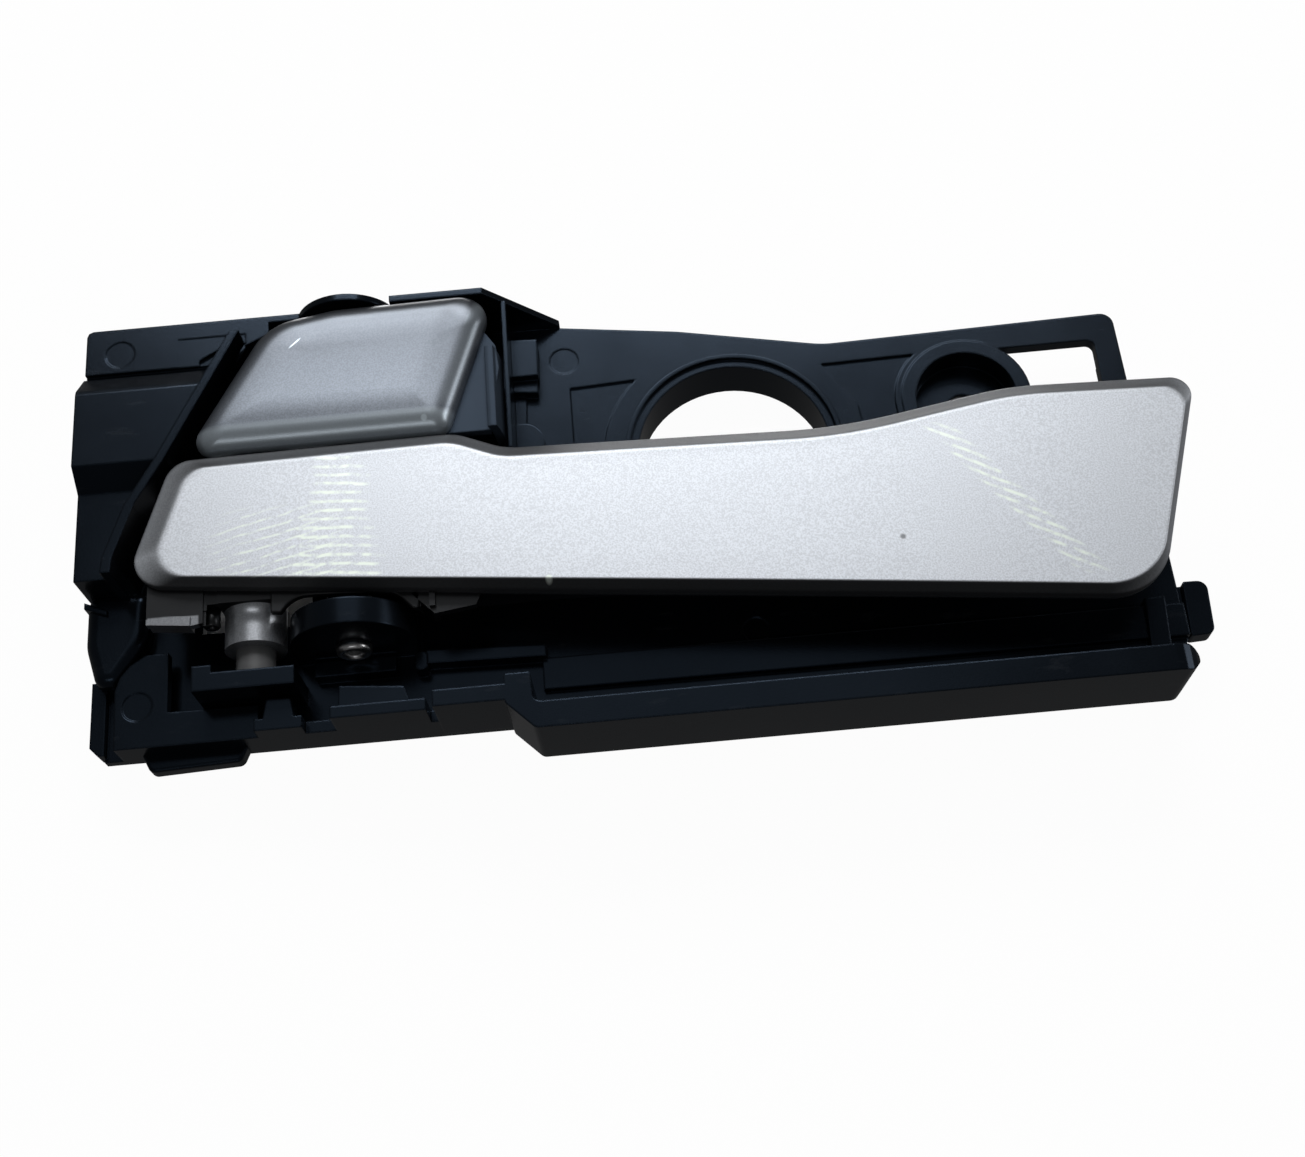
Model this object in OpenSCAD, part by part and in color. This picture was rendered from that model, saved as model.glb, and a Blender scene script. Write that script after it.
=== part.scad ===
// Car interior door handle, left-hinged pull handle with a rocking lock knob above it.
// X runs along the handle to its free end, Z is up, and the front faces -Y.
// The origin is the centre of the fixing hole in the plane that seats on the door panel.

/* [Base plate] */
// Depth of the base plate's front face in front of the door panel
plate_front = 9; // [7.5:0.5:10]
// Thickness of the base plate
plate_t = 2.5; // [2:0.25:3]
// Wall thickness of the moulding
wall = 2.2; // [1.8:0.1:2.6]
// Right edge of the base plate
right_x = 31.8; // [31:0.2:34]
// Top edge of the base plate at its right end
right_top_z = 15.2; // [14.6:0.2:17]
// Width of the right upright between the window and the edge
upright_w = 5.6; // [4.6:0.2:6.4]

/* [Fixing cup] */
// Outer radius of the fixing cup
cup_r = 12.4; // [12:0.1:13]
// Inner radius of the fixing cup
cup_inner_r = 9.6; // [8.5:0.1:10.2]
// Thickness of the cup's floor under the screw head
cup_floor = 4; // [3:0.25:5]
// Radius of the bore in the steel sleeve that takes the fixing screw
screw_r = 2.75; // [2.25:0.05:2.8]
// Wall thickness of the steel sleeve
sleeve_t = 0.5; // [0.4:0.1:0.8]

/* [Access hole] */
// Distance of the large round hole's centre to the left of the fixing hole
hole_left = 45.3; // [44:0.1:47]
// Distance of the large round hole's centre below the fixing hole
hole_down = 7.2; // [6.5:0.1:8]
// Radius of the large round hole
hole_r = 18.2; // [17:0.1:18.6]

/* [Left block] */
// Left edge of the block
left_x = -166.4; // [-168:0.2:-165.6]
// Top edge of the block
top_z = 24.8; // [24.6:0.1:26]
// Depth of the upper and lower front panels
panel_front = 20.2; // [19.6:0.2:21]
// Depth of the raised middle panel
ridge_front = 25; // [24:0.2:25.6]
// Depth of the wall above the lock knob
hood_front = 23.5; // [22.5:0.25:24]
// Depth of the lower left corner plate
corner_front = 13.5; // [12.5:0.25:14.5]

/* [Finger pocket] */
// Depth of the pocket's lower rim
rim_front = 23.5; // [22:0.25:25]
// Height of the pocket's lower rim
rim_h = 4.8; // [4:0.2:5.6]
// Underside of the pocket's lower rim
rim_z = -64.1; // [-66:0.2:-63.6]

/* [Release handle] */
// Depth of the handle's face
face_front = 27; // [26.6:0.1:28]
// Thickness of the handle's paddle
paddle_t = 5; // [4.4:0.2:5.6]
// Wall thickness of the hollow paddle
paddle_wall = 2.2; // [1.8:0.1:2.6]
// Width of the bevel round the face
bevel = 2.6; // [2:0.1:3]
// Bow of the face along its length
bow = 0.8; // [0:0.1:1.2]
// Distance of the hinge axis to the left of the fixing hole
hinge_left = 134.5; // [134:0.1:135.5]
// Depth of both pivot axes
pivot_front = 15.8; // [15.4:0.1:16]
// Radius of the steel hinge pin
hinge_pin_r = 1.75; // [1.5:0.05:2]
// Outer radius of the handle's hinge knuckles
knuckle_r = 5.5; // [4.8:0.1:5.7]

/* [Lock knob] */
// Depth of the knob's face
knob_front = 26.4; // [26:0.1:27]
// Distance of the lock pivot to the left of the fixing hole
lock_left = 117; // [116.6:0.1:117.6]
// Radius of the tubular lock pivot pin
lock_pin_r = 2.5; // [2.2:0.1:2.8]
// Bore radius of the tubular lock pivot pin
lock_bore_r = 1.5; // [1:0.1:1.7]
// Radius of the round boss above the knob
drum_r = 9.8; // [9:0.1:10.4]
// Radius of the round boss below the handle
boss_r = 11.2; // [10.4:0.1:11.4]
// Radius of the knob's curved side skirt
skirt_r = 29.2; // [28.6:0.1:29.5]
// Thickness of the skirt
skirt_t = 1.6; // [1.2:0.1:2]

/* [Fits] */
// Radial clearance of a pin in its running bore
run_gap = 0.05; // [0.03:0.01:0.08]
// Gap between moving faces
move_gap = 0.6; // [0.4:0.1:0.8]
// Clearance of a cable sheath in its socket
sheath_gap = 0.1; // [0.05:0.05:0.2]
// Radius of a cable sheath's end ferrule
sheath_r = 2.9; // [2.6:0.1:3]

/* [Springs] */
// Wire radius of the handle's return spring
spring_wire = 0.6; // [0.5:0.05:0.7]
// Turns of the handle's return spring
spring_turns = 6; // [4:1:7]
// Wire radius of the lock's over-centre spring
detent_wire = 0.45; // [0.35:0.05:0.5]
// Turns of the lock's over-centre spring
detent_turns = 4; // [3:1:5]

/* [Hidden] */
$fn = 64;

plate_y = -plate_front;
plate_back = plate_y + plate_t;
skin_back = -5.5;
eps = 0.01;

hinge = [-hinge_left, -pivot_front];
lock = [-lock_left, -pivot_front];
hinge_bore_r = hinge_pin_r + run_gap;
lock_hole_r = lock_pin_r + run_gap;

// Heights of the parts stacked on the handle's hinge, from the shelf up
shelf_z = -47.6;
shelf_t = 3.3;
shelf_floor = 0.8;
bush_h = 5.2;
knuckle_low = shelf_z + bush_h;
knuckle_h = 12.2;
spring_low = knuckle_low + knuckle_h;
upper_knuckle = -18.4;
upper_knuckle_h = 5;
upper_bush_h = 1.4;
ear_low = upper_knuckle + upper_knuckle_h + upper_bush_h;
ear_t = 2.6;
bush_r = hinge_pin_r + 1.75;
hinge_clip_t = 0.8;
pin_low = shelf_z - shelf_t + shelf_floor;

// Heights of the parts stacked on the lock pivot
hood_t = 1.3;
boss_low = -43;
boss_top = -38.2;
neck_top = -34.4;
hood_low = top_z - hood_t;
knob_ear_t = 3;
knob_t = 5;
lever_screw_off = 6.4;
knob_top_ear = hood_low - 1.2 - move_gap - knob_ear_t;
knob_base = -6;
lever_low = -20;
lever_hub_r = lock_pin_r + 1.6;
lever_sleeve_r = lock_pin_r + 1.1;
arm_reach = 12.5;
collar_h = 1.2;
lock_head_r = lock_pin_r + 0.7;
lock_head_t = 1.8;

handle_top_gap = 0.7;
arm_low = -39.2;
arm_t = 3;
cable_arm_low = -33.8;
cable_arm_t = 3.6;
clip_r = 1.6;
clip_cap_t = 1;
rim_top = rim_z + rim_h;
rim_wall = 1.5;
rim_back = -7.5;
sleeve_inset = 0.6;
sleeve_flange_w = 1.2;

function unit(v) = v / norm(v);
function flip(v) = [-v[1], v[0]];
function xy(p) = [p[0], p[1]];

// Points that round the corner p, between a and b, with radius r
function corner(a, p, b, r, n) =
    let (
        u = unit(a - p),
        v = unit(b - p),
        half = acos(u * v) / 2,
        c = p + unit(u + v) * r / sin(half),
        s = p + u * r / tan(half) - c,
        e = p + v * r / tan(half) - c,
        a0 = atan2(s[1], s[0]),
        turn = atan2(e[1], e[0]) - a0,
        sweep = turn > 180 ? turn - 360 : turn < -180 ? turn + 360 : turn
    )
    [for (k = [0:n]) c + r * [cos(a0 + sweep * k / n), sin(a0 + sweep * k / n)]];

// Closed outline whose points are [x, z, corner radius]
function rounded(pts, n = 6) =
    let (m = len(pts))
    [for (i = [0:m - 1])
        let (a = xy(pts[(i + m - 1) % m]), p = xy(pts[i]), b = xy(pts[(i + 1) % m]))
        each (pts[i][2] > 0 ? corner(a, p, b, pts[i][2], n) : [p])];

// Running length along a path, and the point at a length along it
function lengths(path, i = 0, sum = 0) =
    i >= len(path) - 1 ? [sum]
    : concat([sum], lengths(path, i + 1, sum + norm(path[i + 1] - path[i])));
function along(path, run, s, i = 0) =
    i >= len(path) - 2 || run[i + 1] >= s
        ? path[i] + (path[i + 1] - path[i]) * min(1, (s - run[i]) / max(eps, run[i + 1] - run[i]))
        : along(path, run, s, i + 1);
function resample(path, n) =
    let (run = lengths(path))
    [for (k = [0:n - 1]) along(path, run, run[len(run) - 1] * k / (n - 1))];

// Outline moved inwards by d; the outline runs clockwise seen from the front
function inset(loop, d) =
    let (m = len(loop))
    [for (i = [0:m - 1]) loop[i] - d * flip(unit(loop[(i + 1) % m] - loop[(i + m - 1) % m]))];

// A cushion: rings of an outline, each with [inset, y], closed by strips between both chains.
// The face is bowed along X by the crown, measured from the middle to the ends.
module cushion(top, bottom, rings, crown, mid_x, half_x) {
    n = len(top);
    loop = concat(top, [for (i = [n - 2:-1:1]) bottom[i]]);
    m = len(loop);
    count = len(rings);
    pts = [for (r = rings)
        for (q = inset(loop, r[0]))
            [q[0], r[1] + r[2] * crown * pow((q[0] - mid_x) / half_x, 2), q[1]]];
    sides = [for (k = [0:count - 2]) for (i = [0:m - 1])
        let (j = (i + 1) % m, a = k * m, b = (k + 1) * m)
            each [[b + j, a + j, a + i], [b + i, b + j, a + i]]];
    function lower(i) = i == 0 ? 0 : i == n - 1 ? n - 1 : m - i;
    function cap(o) = [for (i = [0:n - 2])
        each (i == 0 ? [[o + 1, o + lower(1), o]]
            : i == n - 2 ? [[o + i + 1, o + lower(i), o + i]]
            : [[o + lower(i + 1), o + lower(i), o + i], [o + i + 1, o + lower(i + 1), o + i]])];
    back = [for (f = cap((count - 1) * m)) [f[2], f[1], f[0]]];
    polyhedron(pts, concat(cap(0), sides, back), convexity = 6);
}

// An outline in X and Z, as thick as the depths from front to back
module slab(front, back) {
    translate([0, back, 0])
        rotate([90, 0, 0])
            linear_extrude(height = back - front, convexity = 8)
                children();
}

// A profile in Y and Z drawn out along X
module drawn(left, right) {
    translate([left, 0, 0])
        rotate([90, 0, 90])
            linear_extrude(height = right - left, convexity = 6)
                children();
}

// A plan outline in X and Y between two heights
module storey(low, high) {
    translate([0, 0, low])
        linear_extrude(height = high - low, convexity = 6)
            children();
}

// An upright round bar on a pivot axis
module post(axis, r, low, high) {
    translate([axis[0], axis[1], low])
        cylinder(r = r, h = high - low);
}

// A round bar along Y at a place in X and Z
module stud(x, z, r, front, back) {
    translate([x, back, z])
        rotate([90, 0, 0])
            cylinder(r = r, h = back - front);
}

// Outline of the release handle, from the middle of its left edge
handle_corners = [
    [-148.3, knob_base - handle_top_gap - 0.4, 5],
    [-96.5, knob_base - handle_top_gap, 10],
    [-87.5, -10.6, 12],
    [-27, -12.6, 100],
    [4.5, -7.2, 60],
    [38.4, -8.3, 3.5],
    [24.5, -50.5, 11],
    [-156.3, -31.2, 5.5]];
handle_left = xy(handle_corners[7] + handle_corners[0]) / 2;
handle_right = xy(handle_corners[5] + handle_corners[6]) / 2;
handle_round = rounded(handle_corners);
handle_top_chain = resample(
    concat([handle_left], [for (i = [0:41]) handle_round[i]], [handle_right]), 46);
handle_low_chain = resample(
    concat([handle_left], [for (i = [55:-1:42]) handle_round[i]], [handle_right]), 46);

// Outline of the lock knob, from the middle of its left edge
knob_corners = [
    [-131.2, 20.4, 11],
    [-118.5, hood_low - 0.9, 16],
    [-87.6, hood_low - 0.3, 5],
    [-97.9, knob_base, 3.2],
    [-146.4, knob_base, 3]];
knob_left = xy(knob_corners[4] + knob_corners[0]) / 2;
knob_right = xy(knob_corners[2] + knob_corners[3]) / 2;
knob_round = rounded(knob_corners);
knob_top_chain = resample(concat([knob_left], [for (i = [0:20]) knob_round[i]], [knob_right]), 30);
knob_low_chain = resample(concat([knob_left], [for (i = [34:-1:21]) knob_round[i]], [knob_right]), 30);

// Inner edge of the slanted rib that bounds the recess on the left, from the top down
rib_edge = [[-131.2, 20.9], [-135.9, 18.6], [-149.6, -7.8], [-154.4, -16], [-157.9, -26], [-158.2, -29]];
rib_w = 1.8;
tail_sweep_low = 18.95;
tail_sweep_high = 16.9;

plate_outline = [
    [left_x, top_z, 1.5], [-77, top_z - 1.4, 2], [-54, 20.2, 30], [-26, 14.4, 20],
    [right_x - 1.2, right_top_z + 0.5, 2.5], [right_x, -53.1, 1.5], [right_x - 3.5, rim_top - 0.6, 1],
    [-86, rim_top - 0.6, 1], [-90, -57.4, 1], [-160, -57.4, 1], [-160, -28, 0.5], [left_x, -28, 0.5]];

// The folded front of the left block: upper panel, groove, raised ridge and lower panel
module block_skin() {
    drawn(left_x, -130)
        polygon([
            [-panel_front, top_z], [-panel_front, 15.2], [-panel_front + 1, 15.2], [-panel_front + 1, 13.9],
            [-panel_front - 0.5, 13.8], [-ridge_front + 0.9, 9.8], [-ridge_front + 0.3, 9.1],
            [-ridge_front, 8.2],
            [-ridge_front, -6.6], [-panel_front - 0.4, -10.5], [-panel_front - 0.4, -27.8],
            [-panel_front - 0.4 + wall, -27.8], [-panel_front - 0.4 + wall, -9.6],
            [-ridge_front + wall, -5.8], [-ridge_front + wall, 8], [-panel_front + wall, 13],
            [-panel_front + wall, top_z]]);
}

// What lies to the left of the slanted rib, as an outline
module left_of_rib(shift) {
    polygon(concat([[left_x - 5, top_z + 5], [rib_edge[0][0] - shift, top_z + 5]],
        [for (p = rib_edge) [p[0] - shift, p[1]]],
        [[rib_edge[5][0] - shift, -60], [left_x - 5, -60]]));
}

module slanted_rib() {
    difference() {
        slab(-ridge_front - 1, plate_back)
            polygon(concat([for (i = [1:5]) rib_edge[i]], [for (i = [5:-1:1]) rib_edge[i] - [rib_w, 0]]));
        // Relief for the tail of the handle as it swings in
        translate([hinge[0], hinge[1], -16])
            cylinder(r1 = tail_sweep_low, r2 = tail_sweep_high, h = 9.6);
    }
}

// Wall above the lock knob, with the round boss and the slope down to the plate
module hood() {
    storey(hood_low, top_z) {
        polygon([
            [left_x, -panel_front], [-108, -panel_front], [-108, -hood_front], [-90.4, -hood_front],
            [-76.8, plate_y - 0.5], [-76.8, skin_back], [left_x, skin_back]]);
        translate(lock)
            circle(r = drum_r);
    }
}

module finger_rim() {
    lip = rounded([
        [-90, -53.8, 0.5], [-85.4, -53.8, 0.5], [-85.2, rim_top, 1.5], [27.5, rim_top, 2],
        [29.8, rim_z + 2.6, 1.5], [27.4, rim_z, 2], [-85, rim_z, 1.5], [-90, rim_z + 5, 1]]);
    difference() {
        intersection() {
            slab(-rim_front, rim_back)
                polygon(lip);
            storey(rim_z - 1, rim_top + 8)
                polygon(rounded([[-92, -rim_front, 1], [29.8, -rim_front, 5], [29.8, 0, 1], [-92, 0, 1]]));
        }
        slab(-rim_front + wall, rim_back + 1)
            polygon([
                [-84, rim_top - rim_wall], [27, rim_top - rim_wall], [28, rim_z + 2.6],
                [26.6, rim_z + rim_wall], [-84, rim_z + rim_wall]]);
    }
}

// Lower left corner: front plate with its pocket, the bottom wall and its two cable slots
module lower_corner() {
    bottom = -57.8;
    slab(-corner_front, -corner_front + wall)
        polygon([
            [-160.2, bottom], [-134.6, bottom], [-134.6, bottom + 6.1], [-150.8, bottom + 6.3],
            [-150.9, arm_low - 1], [-155, arm_low - 1], [-157.8, -42], [-159.6, -44.2], [-160.4, -46.8]]);
    storey(bottom, bottom + wall)
        polygon([
            [-160.2, -corner_front], [-134.6, -corner_front], [-134.6, -17], [-126.2, -17],
            [-126.2, -corner_front], [-120.7, -corner_front], [-120.7, -20], [-104, -20],
            [-104, -corner_front], [-102.4, -corner_front], [-102.4, -rim_front], [-86, -rim_front],
            [-86, skin_back], [-163.4, skin_back], [-163.4, -7.4], [-160.2, -7.4]]);
    // Left wall of the plate, with a groove between it and the flange
    slab(-corner_front, plate_back)
        polygon([[-160.2, bottom], [-158, bottom], [-158, -44.6], [-160.4, -46.8]]);
    slab(-7.4, skin_back)
        polygon([[-163.6, -43], [-159.8, -43], [-159.8, bottom], [-163.6, bottom]]);
    slab(plate_y, skin_back)
        polygon([[-166, -43], [-163.3, -43], [-163.3, -57], [-164.4, -57], [-166, -55.4]]);
    // Panel between the two cable slots, in two steps
    slab(-20, plate_y)
        polygon([[-120.4, bottom], [-105, bottom], [-106, -56.8], [-119.6, -55.7]]);
    slab(-18.6, plate_y)
        polygon([[-119.6, bottom], [-106, bottom], [-107.9, -52.5], [-119.3, -51.4]]);
    slab(-rim_front, plate_y)
        polygon([[-102.4, -58.6], [-88, -58.6], [-88, -56.2], [-102.4, -55.6]]);
}

// Shelf under the handle's hinge, ear above it, and the lower boss of the lock pivot
module pivot_brackets() {
    slab(-pivot_front - 5, plate_y)
        polygon([
            [-144.7, shelf_z - shelf_t], [-126.7, shelf_z - shelf_t], [-126.7, shelf_z],
            [-141.3, shelf_z], [-141.3, shelf_z + 1.4], [-144.7, shelf_z + 1.4]]);
    storey(ear_low, ear_low + ear_t) {
        translate(hinge)
            circle(r = 4.4);
        translate([hinge[0] - 4.4, hinge[1]])
            square([8.8, pivot_front - plate_front + 0.2]);
    }
    post(lock, boss_r, boss_low, boss_top);
    post(lock, lever_hub_r, boss_low, neck_top);
    storey(boss_low, boss_top)
        translate([lock[0] - boss_r, lock[1]])
            square([2 * boss_r, pivot_front - plate_front + 0.2]);
    post(lock, lever_hub_r, hood_low - collar_h, top_z);
}

// Small ribs and saddles of the lower recess
module recess_ribs() {
    saddle_top = boss_low + 0.4;
    drawn(lock[0] - 7.8, lock[0] + 6.8)
        polygon([
            [-12.2, saddle_top - 1.6], [-11.2, saddle_top], [plate_y + 0.2, saddle_top],
            [plate_y + 0.2, saddle_top - 4.3], [-12.2, saddle_top - 4.3]]);
    slab(-12, plate_y + 0.2)
        polygon([[-104.8, -46], [-83.2, -46.6], [-83.2, -44.4], [-104.8, -43.4]]);
    slab(-12.5, plate_y + 0.2)
        polygon(rounded([
            [-106.7, -43.8, 0.8], [-104.5, -43.8, 0.8], [-104.5, -47.3, 0.8], [-106.7, -47.3, 0.8]]));
    slab(-17, -corner_front + wall)
        polygon([[-133.4, -57.6], [-127.2, -57.8], [-128.2, -52.2], [-132.4, -52]]);
}

bulge_steps = [[0, 11.4], [0.4, 12.3], [1, 13], [1.9, 13.5]];

// Rounded swelling of the lower left edge in front of the lower cable socket
module cable_bulge() {
    outline = rounded([
        [left_x, -27, 2.4], [-154.6, -27, 2.4], [-155.2, -37.4, 9], [-160.4, -45.2, 2.6],
        [-164.2, -45.2, 2.6], [left_x, -37.4, 9]]);
    for (step = bulge_steps)
        slab(-step[1], -7.8)
            polygon(inset(outline, step[0]));
    slab(-14.3, -8)
        polygon([[left_x, -29.2], [-162.2, -31], [-162.2, -32], [left_x, -30.4]]);
}

// A flat ring round an axis along Y
module bead(x, z, r, w, front, back) {
    difference() {
        stud(x, z, r + w, front, back);
        stud(x, z, r, front - 1, back + 1);
    }
}

// Shallow round marks of the ejector pins, as [x, z, depth of the face, radius]
ejector_marks = [
    [-76.4, 15.8, plate_y, 2.8], [-17.9, 5.3, plate_y, 2.6], [-45.1, -44, plate_y, 2.4],
    [-159.9, 19.2, -panel_front, 2.8], [-156.3, -50, -corner_front, 2.7]];
mark_depth = 0.15;
panel_depth = 0.5;

// What is taken off the faces: sunk panels, a notch beside the slanted rib and the ejector marks
module sunk_faces() {
    slab(plate_y - 0.1, plate_y + panel_depth)
        difference() {
            polygon([[-75.6, 9.6], [-60, 10.4], [-60, -2.6], [-75.6, -2.6]]);
            translate([-hole_left, -hole_down])
                circle(r = hole_r + 6.6);
        }
    slab(plate_y - 0.1, plate_y + panel_depth)
        difference() {
            polygon([[-26.8, 10], [-7.5, 10.4], [-7.5, -3], [-20.4, -3], [-20.8, 0.3]]);
            circle(r = cup_r + 1.2);
            translate([-hole_left, -hole_down])
                circle(r = hole_r + 4.2);
        }
    slab(-panel_front - 1, -panel_front + 0.8)
        polygon([[-144.8, 15.3], [-144.8, 16.4], [-141.3, 18.4], [-141.3, 15.3]]);
    slab(-panel_front - 1, -panel_front + mark_depth)
        polygon([[-148.9, 15.2], [-136, 15.2], [-136, 21.4], [-148.9, 21.4]]);
    for (m = ejector_marks)
        stud(m[0], m[1], m[3], m[2] - 0.5, m[2] + mark_depth);
    // Rounding of the block's top left corner
    slab(-40, 5)
        polygon([
            [left_x - 1, top_z + 1], [left_x + 1.2, top_z + 1], [left_x + 1.2, top_z],
            [left_x + 0.35, top_z - 0.35], [left_x, top_z - 1.2], [left_x - 1, top_z - 1.2]]);
}

// Base plate with the window between the fixing cup and the right upright
module base_plate() {
    inner_x = right_x - upright_w;
    slab(plate_y, plate_back)
        difference() {
            polygon(rounded(plate_outline));
            polygon(rounded([[5, 9.9, 1.5], [inner_x, 10, 1.5], [inner_x, -24, 3], [5, -24, 3]]));
        }
}

window_low = cable_arm_low - clip_cap_t - 0.4;

// Opening behind the pivots, through which the cable arms reach the back
module arm_window() {
    slab(plate_y - 0.3, 1)
        polygon([
            [-146, window_low], [-125.8, window_low], [-125.8, lever_low - 2.6], [-101, lever_low - 2.6],
            [-101, -9], [-128, -9],
            [-128, -12.4], [-146, -12.4]]);
}

// Socket that holds the end of a cable sheath, with a slot to lay the cable in
module sheath_socket(x0, x1, y, z) {
    difference() {
        translate([x0, y, z])
            rotate([0, 90, 0])
                cylinder(r = sheath_r + sheath_gap + socket_wall, h = x1 - x0);
        translate([x0 - 1, y, z])
            rotate([0, 90, 0])
                cylinder(r = sheath_r + sheath_gap, h = x1 - x0 + 2);
        translate([x0 - 1, y, z - 0.9])
            cube([x1 - x0 + 2, 12, 1.8]);
    }
}

socket_x0 = left_x + 0.4;
socket_x1 = -156;
release_socket_z = cable_arm_low + cable_arm_t / 2;
lock_socket_z = -15;
socket_y = -4.6;
socket_wall = 1.4;
sheath_clip_r = sheath_r + 0.7;
sheath_clip_t = 1.6;

module base_housing() {
    color([0.075, 0.085, 0.105])
    difference() {
        union() {
            base_plate();
            intersection() {
                block_skin();
                slab(-40, 0)
                    left_of_rib(0.4);
            }
            slanted_rib();
            hood();
            slab(-panel_front + 1, skin_back)
                polygon([[left_x, top_z], [left_x + wall, top_z], [left_x + wall, -27.8], [left_x, -27.8]]);
            slab(-ridge_front + 0.4, -panel_front + 1)
                polygon([[left_x, 8], [left_x + wall, 8], [left_x + wall, -6.6], [left_x, -6.6]]);
            storey(-27.8, -27.8 + wall)
                polygon([
                    [left_x, -panel_front], [-159, -panel_front], [-159, skin_back], [left_x, skin_back]]);
            finger_rim();
            lower_corner();
            pivot_brackets();
            recess_ribs();
            cable_bulge();
            // Collars of the access hole and the fixing cup, down to the door panel
            stud(-hole_left, -hole_down, hole_r + wall, plate_y - 0.3, 0);
            bead(-hole_left, -hole_down, hole_r + 1.6, 1, plate_y - 1.1, plate_y);
            stud(0, 0, cup_r, plate_y - 0.2, 0);
            // Upright beside the skirt, and the stop block behind it
            slab(-20, plate_y + 0.2)
                polygon([[-87.2, hood_low + 0.2], [-86.3, hood_low + 0.2], [-86.3, -8], [-87.2, -8]]);
            slab(-13, plate_y + 0.2)
                polygon([[-86.5, 19.2], [-81.2, 18.8], [-81.4, 10.9], [-86.5, 10.9]]);
            slab(-11.2, plate_y + 0.2)
                polygon([[-86.5, 11.2], [-81.6, 11.2], [-81.7, 8.1], [-86.5, 8.5]]);
            slab(plate_y - 0.6, plate_y + 0.2)
                polygon([[-86.5, 8.6], [-84, 8.6], [-84.4, 1], [-86.5, 1]]);
            slab(-11.4, plate_y + 0.2)
                polygon(rounded([[-86.5, 1.5, 0.3], [-81, 1.5, 4], [-81, -8, 0.3], [-86.5, -8, 0.3]]));
            // Post of the rest buffer and pad of the stop buffer
            stud(rest_x, rest_z, 3.4, -rest_seat, plate_back);
            // Step along the bottom of the plate, upright at its right, and the tab behind the trim
            slab(plate_y - 1.4, plate_back)
                polygon([[-84, -46.4], [right_x, -46.8], [right_x, -53], [-84, -52.4]]);
            slab(plate_y - 2.4, plate_back)
                polygon([[24.8, -45.6], [28.4, -45.6], [27.6, rim_top + 0.6], [24, rim_top + 0.6]]);
            slab(plate_y + 1.8, skin_back)
                polygon([
                    [right_x - 0.5, -42.4], [right_x + 1.4, -42.4], [right_x + 1.2, -52.6],
                    [right_x - 0.5, -52.6]]);
            slab(plate_y, skin_back)
                polygon(rounded([
                    [right_x + 1, -42.2, 0.4], [right_x + 5.4, -42.3, 1.8], [right_x + 4.9, -52.6, 1.4],
                    [right_x + 0.6, -52.8, 0.4]]));
            sheath_socket(socket_x0, socket_x1, socket_y, release_socket_z);
            sheath_socket(socket_x0, socket_x1, socket_y, lock_socket_z);
        }
        stud(-hole_left, -hole_down, hole_r, -40, 5);
        stud(0, 0, cup_inner_r, -20, -cup_floor);
        stud(0, 0, screw_r + sleeve_t + 0.02, -20, 5);
        stud(0, 0, screw_r + sleeve_t + sleeve_flange_w + 0.02, -sleeve_inset, 5);
        sunk_faces();
        arm_window();
        post(hinge, hinge_bore_r, pin_low, shelf_z + 1);
        post(hinge, hinge_bore_r, ear_low - 1, ear_low + ear_t + 1);
        post(lock, lock_hole_r, boss_low - 1, neck_top + 1);
        post(lock, lock_hole_r, hood_low - collar_h - 1, top_z + 1);
        for (z = [release_socket_z, lock_socket_z]) {
            translate([socket_x0 - 1, socket_y, z])
                rotate([0, 90, 0])
                    cylinder(r = sheath_r + sheath_gap, h = socket_x1 - socket_x0 + 1);
            // Pocket in the plate that clears the sheath clip
            translate([socket_x1, socket_y, z])
                rotate([0, 90, 0])
                    cylinder(r = sheath_clip_r + 0.3, h = sheath_clip_t + 0.4);
        }
    }
}

// Webs under the paddle on both sides of the lower knuckle, cut round the lock boss
module handle_arm() {
    web_front = -face_front + paddle_t - 0.6;
    difference() {
        union() {
            slab(web_front, web_front + 1.6)
                polygon([
                    [-152.4, -38.4], [-144.5, -39.2], [-142.4, -38.9], [-142.4, -28], [-152.4, -28]]);
            slab(web_front - 0.5, -19.6)
                polygon([[-152, -38.6], [-144.6, -39.4], [-144.5, -37.6], [-152, -36.9]]);
            slab(web_front, web_front + 1.6)
                polygon([
                    [-107.6, -34], [-105, -37.4], [-101.5, -41], [-94.2, -40], [-93, -37.5], [-92.2, -34.6],
                    [-92.2, -28], [-107.6, -28]]);
            storey(arm_low, arm_low + arm_t)
                polygon([
                    [-142.6, -22], [-142, -17], [hinge[0], hinge[1]], [-128, -17], [-104, -17], [-104, -22]]);
        }
        post(lock, boss_r + 2, -60, -30);
    }
    // Ledge that falls to the knuckle, the stub beside it, and the rib of the right web
    drawn(-143, -131)
        polygon([[-22.2, -32.6], [-17.6, -36.6], [-17.6, -38.4], [-22.2, -36.4]]);
    post([-141.6, -19], 1.5, -38.7, -34);
    slab(-23.4, -16)
        polygon([[-102.3, -39.8], [-101.3, -39.8], [-101.3, -28], [-102.3, -28]]);
}

// Gusset walls behind the paddle, deepest beside the hinge
module handle_gussets() {
    intersection() {
        slab(-face_front + paddle_t - 1, -13)
            difference() {
                polygon(inset(rounded(handle_corners, 3), 1));
                polygon(inset(rounded(handle_corners, 3), 1 + 1.8));
            }
        storey(-60, 0)
            polygon([
                [-96, -24], [-96, -14.4], [-93, -14.4], [-82, -17.4], [-70, -19.6], [-58, -21.2],
                [-44, -22.4], [-44, -24]]);
    }
}

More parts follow.
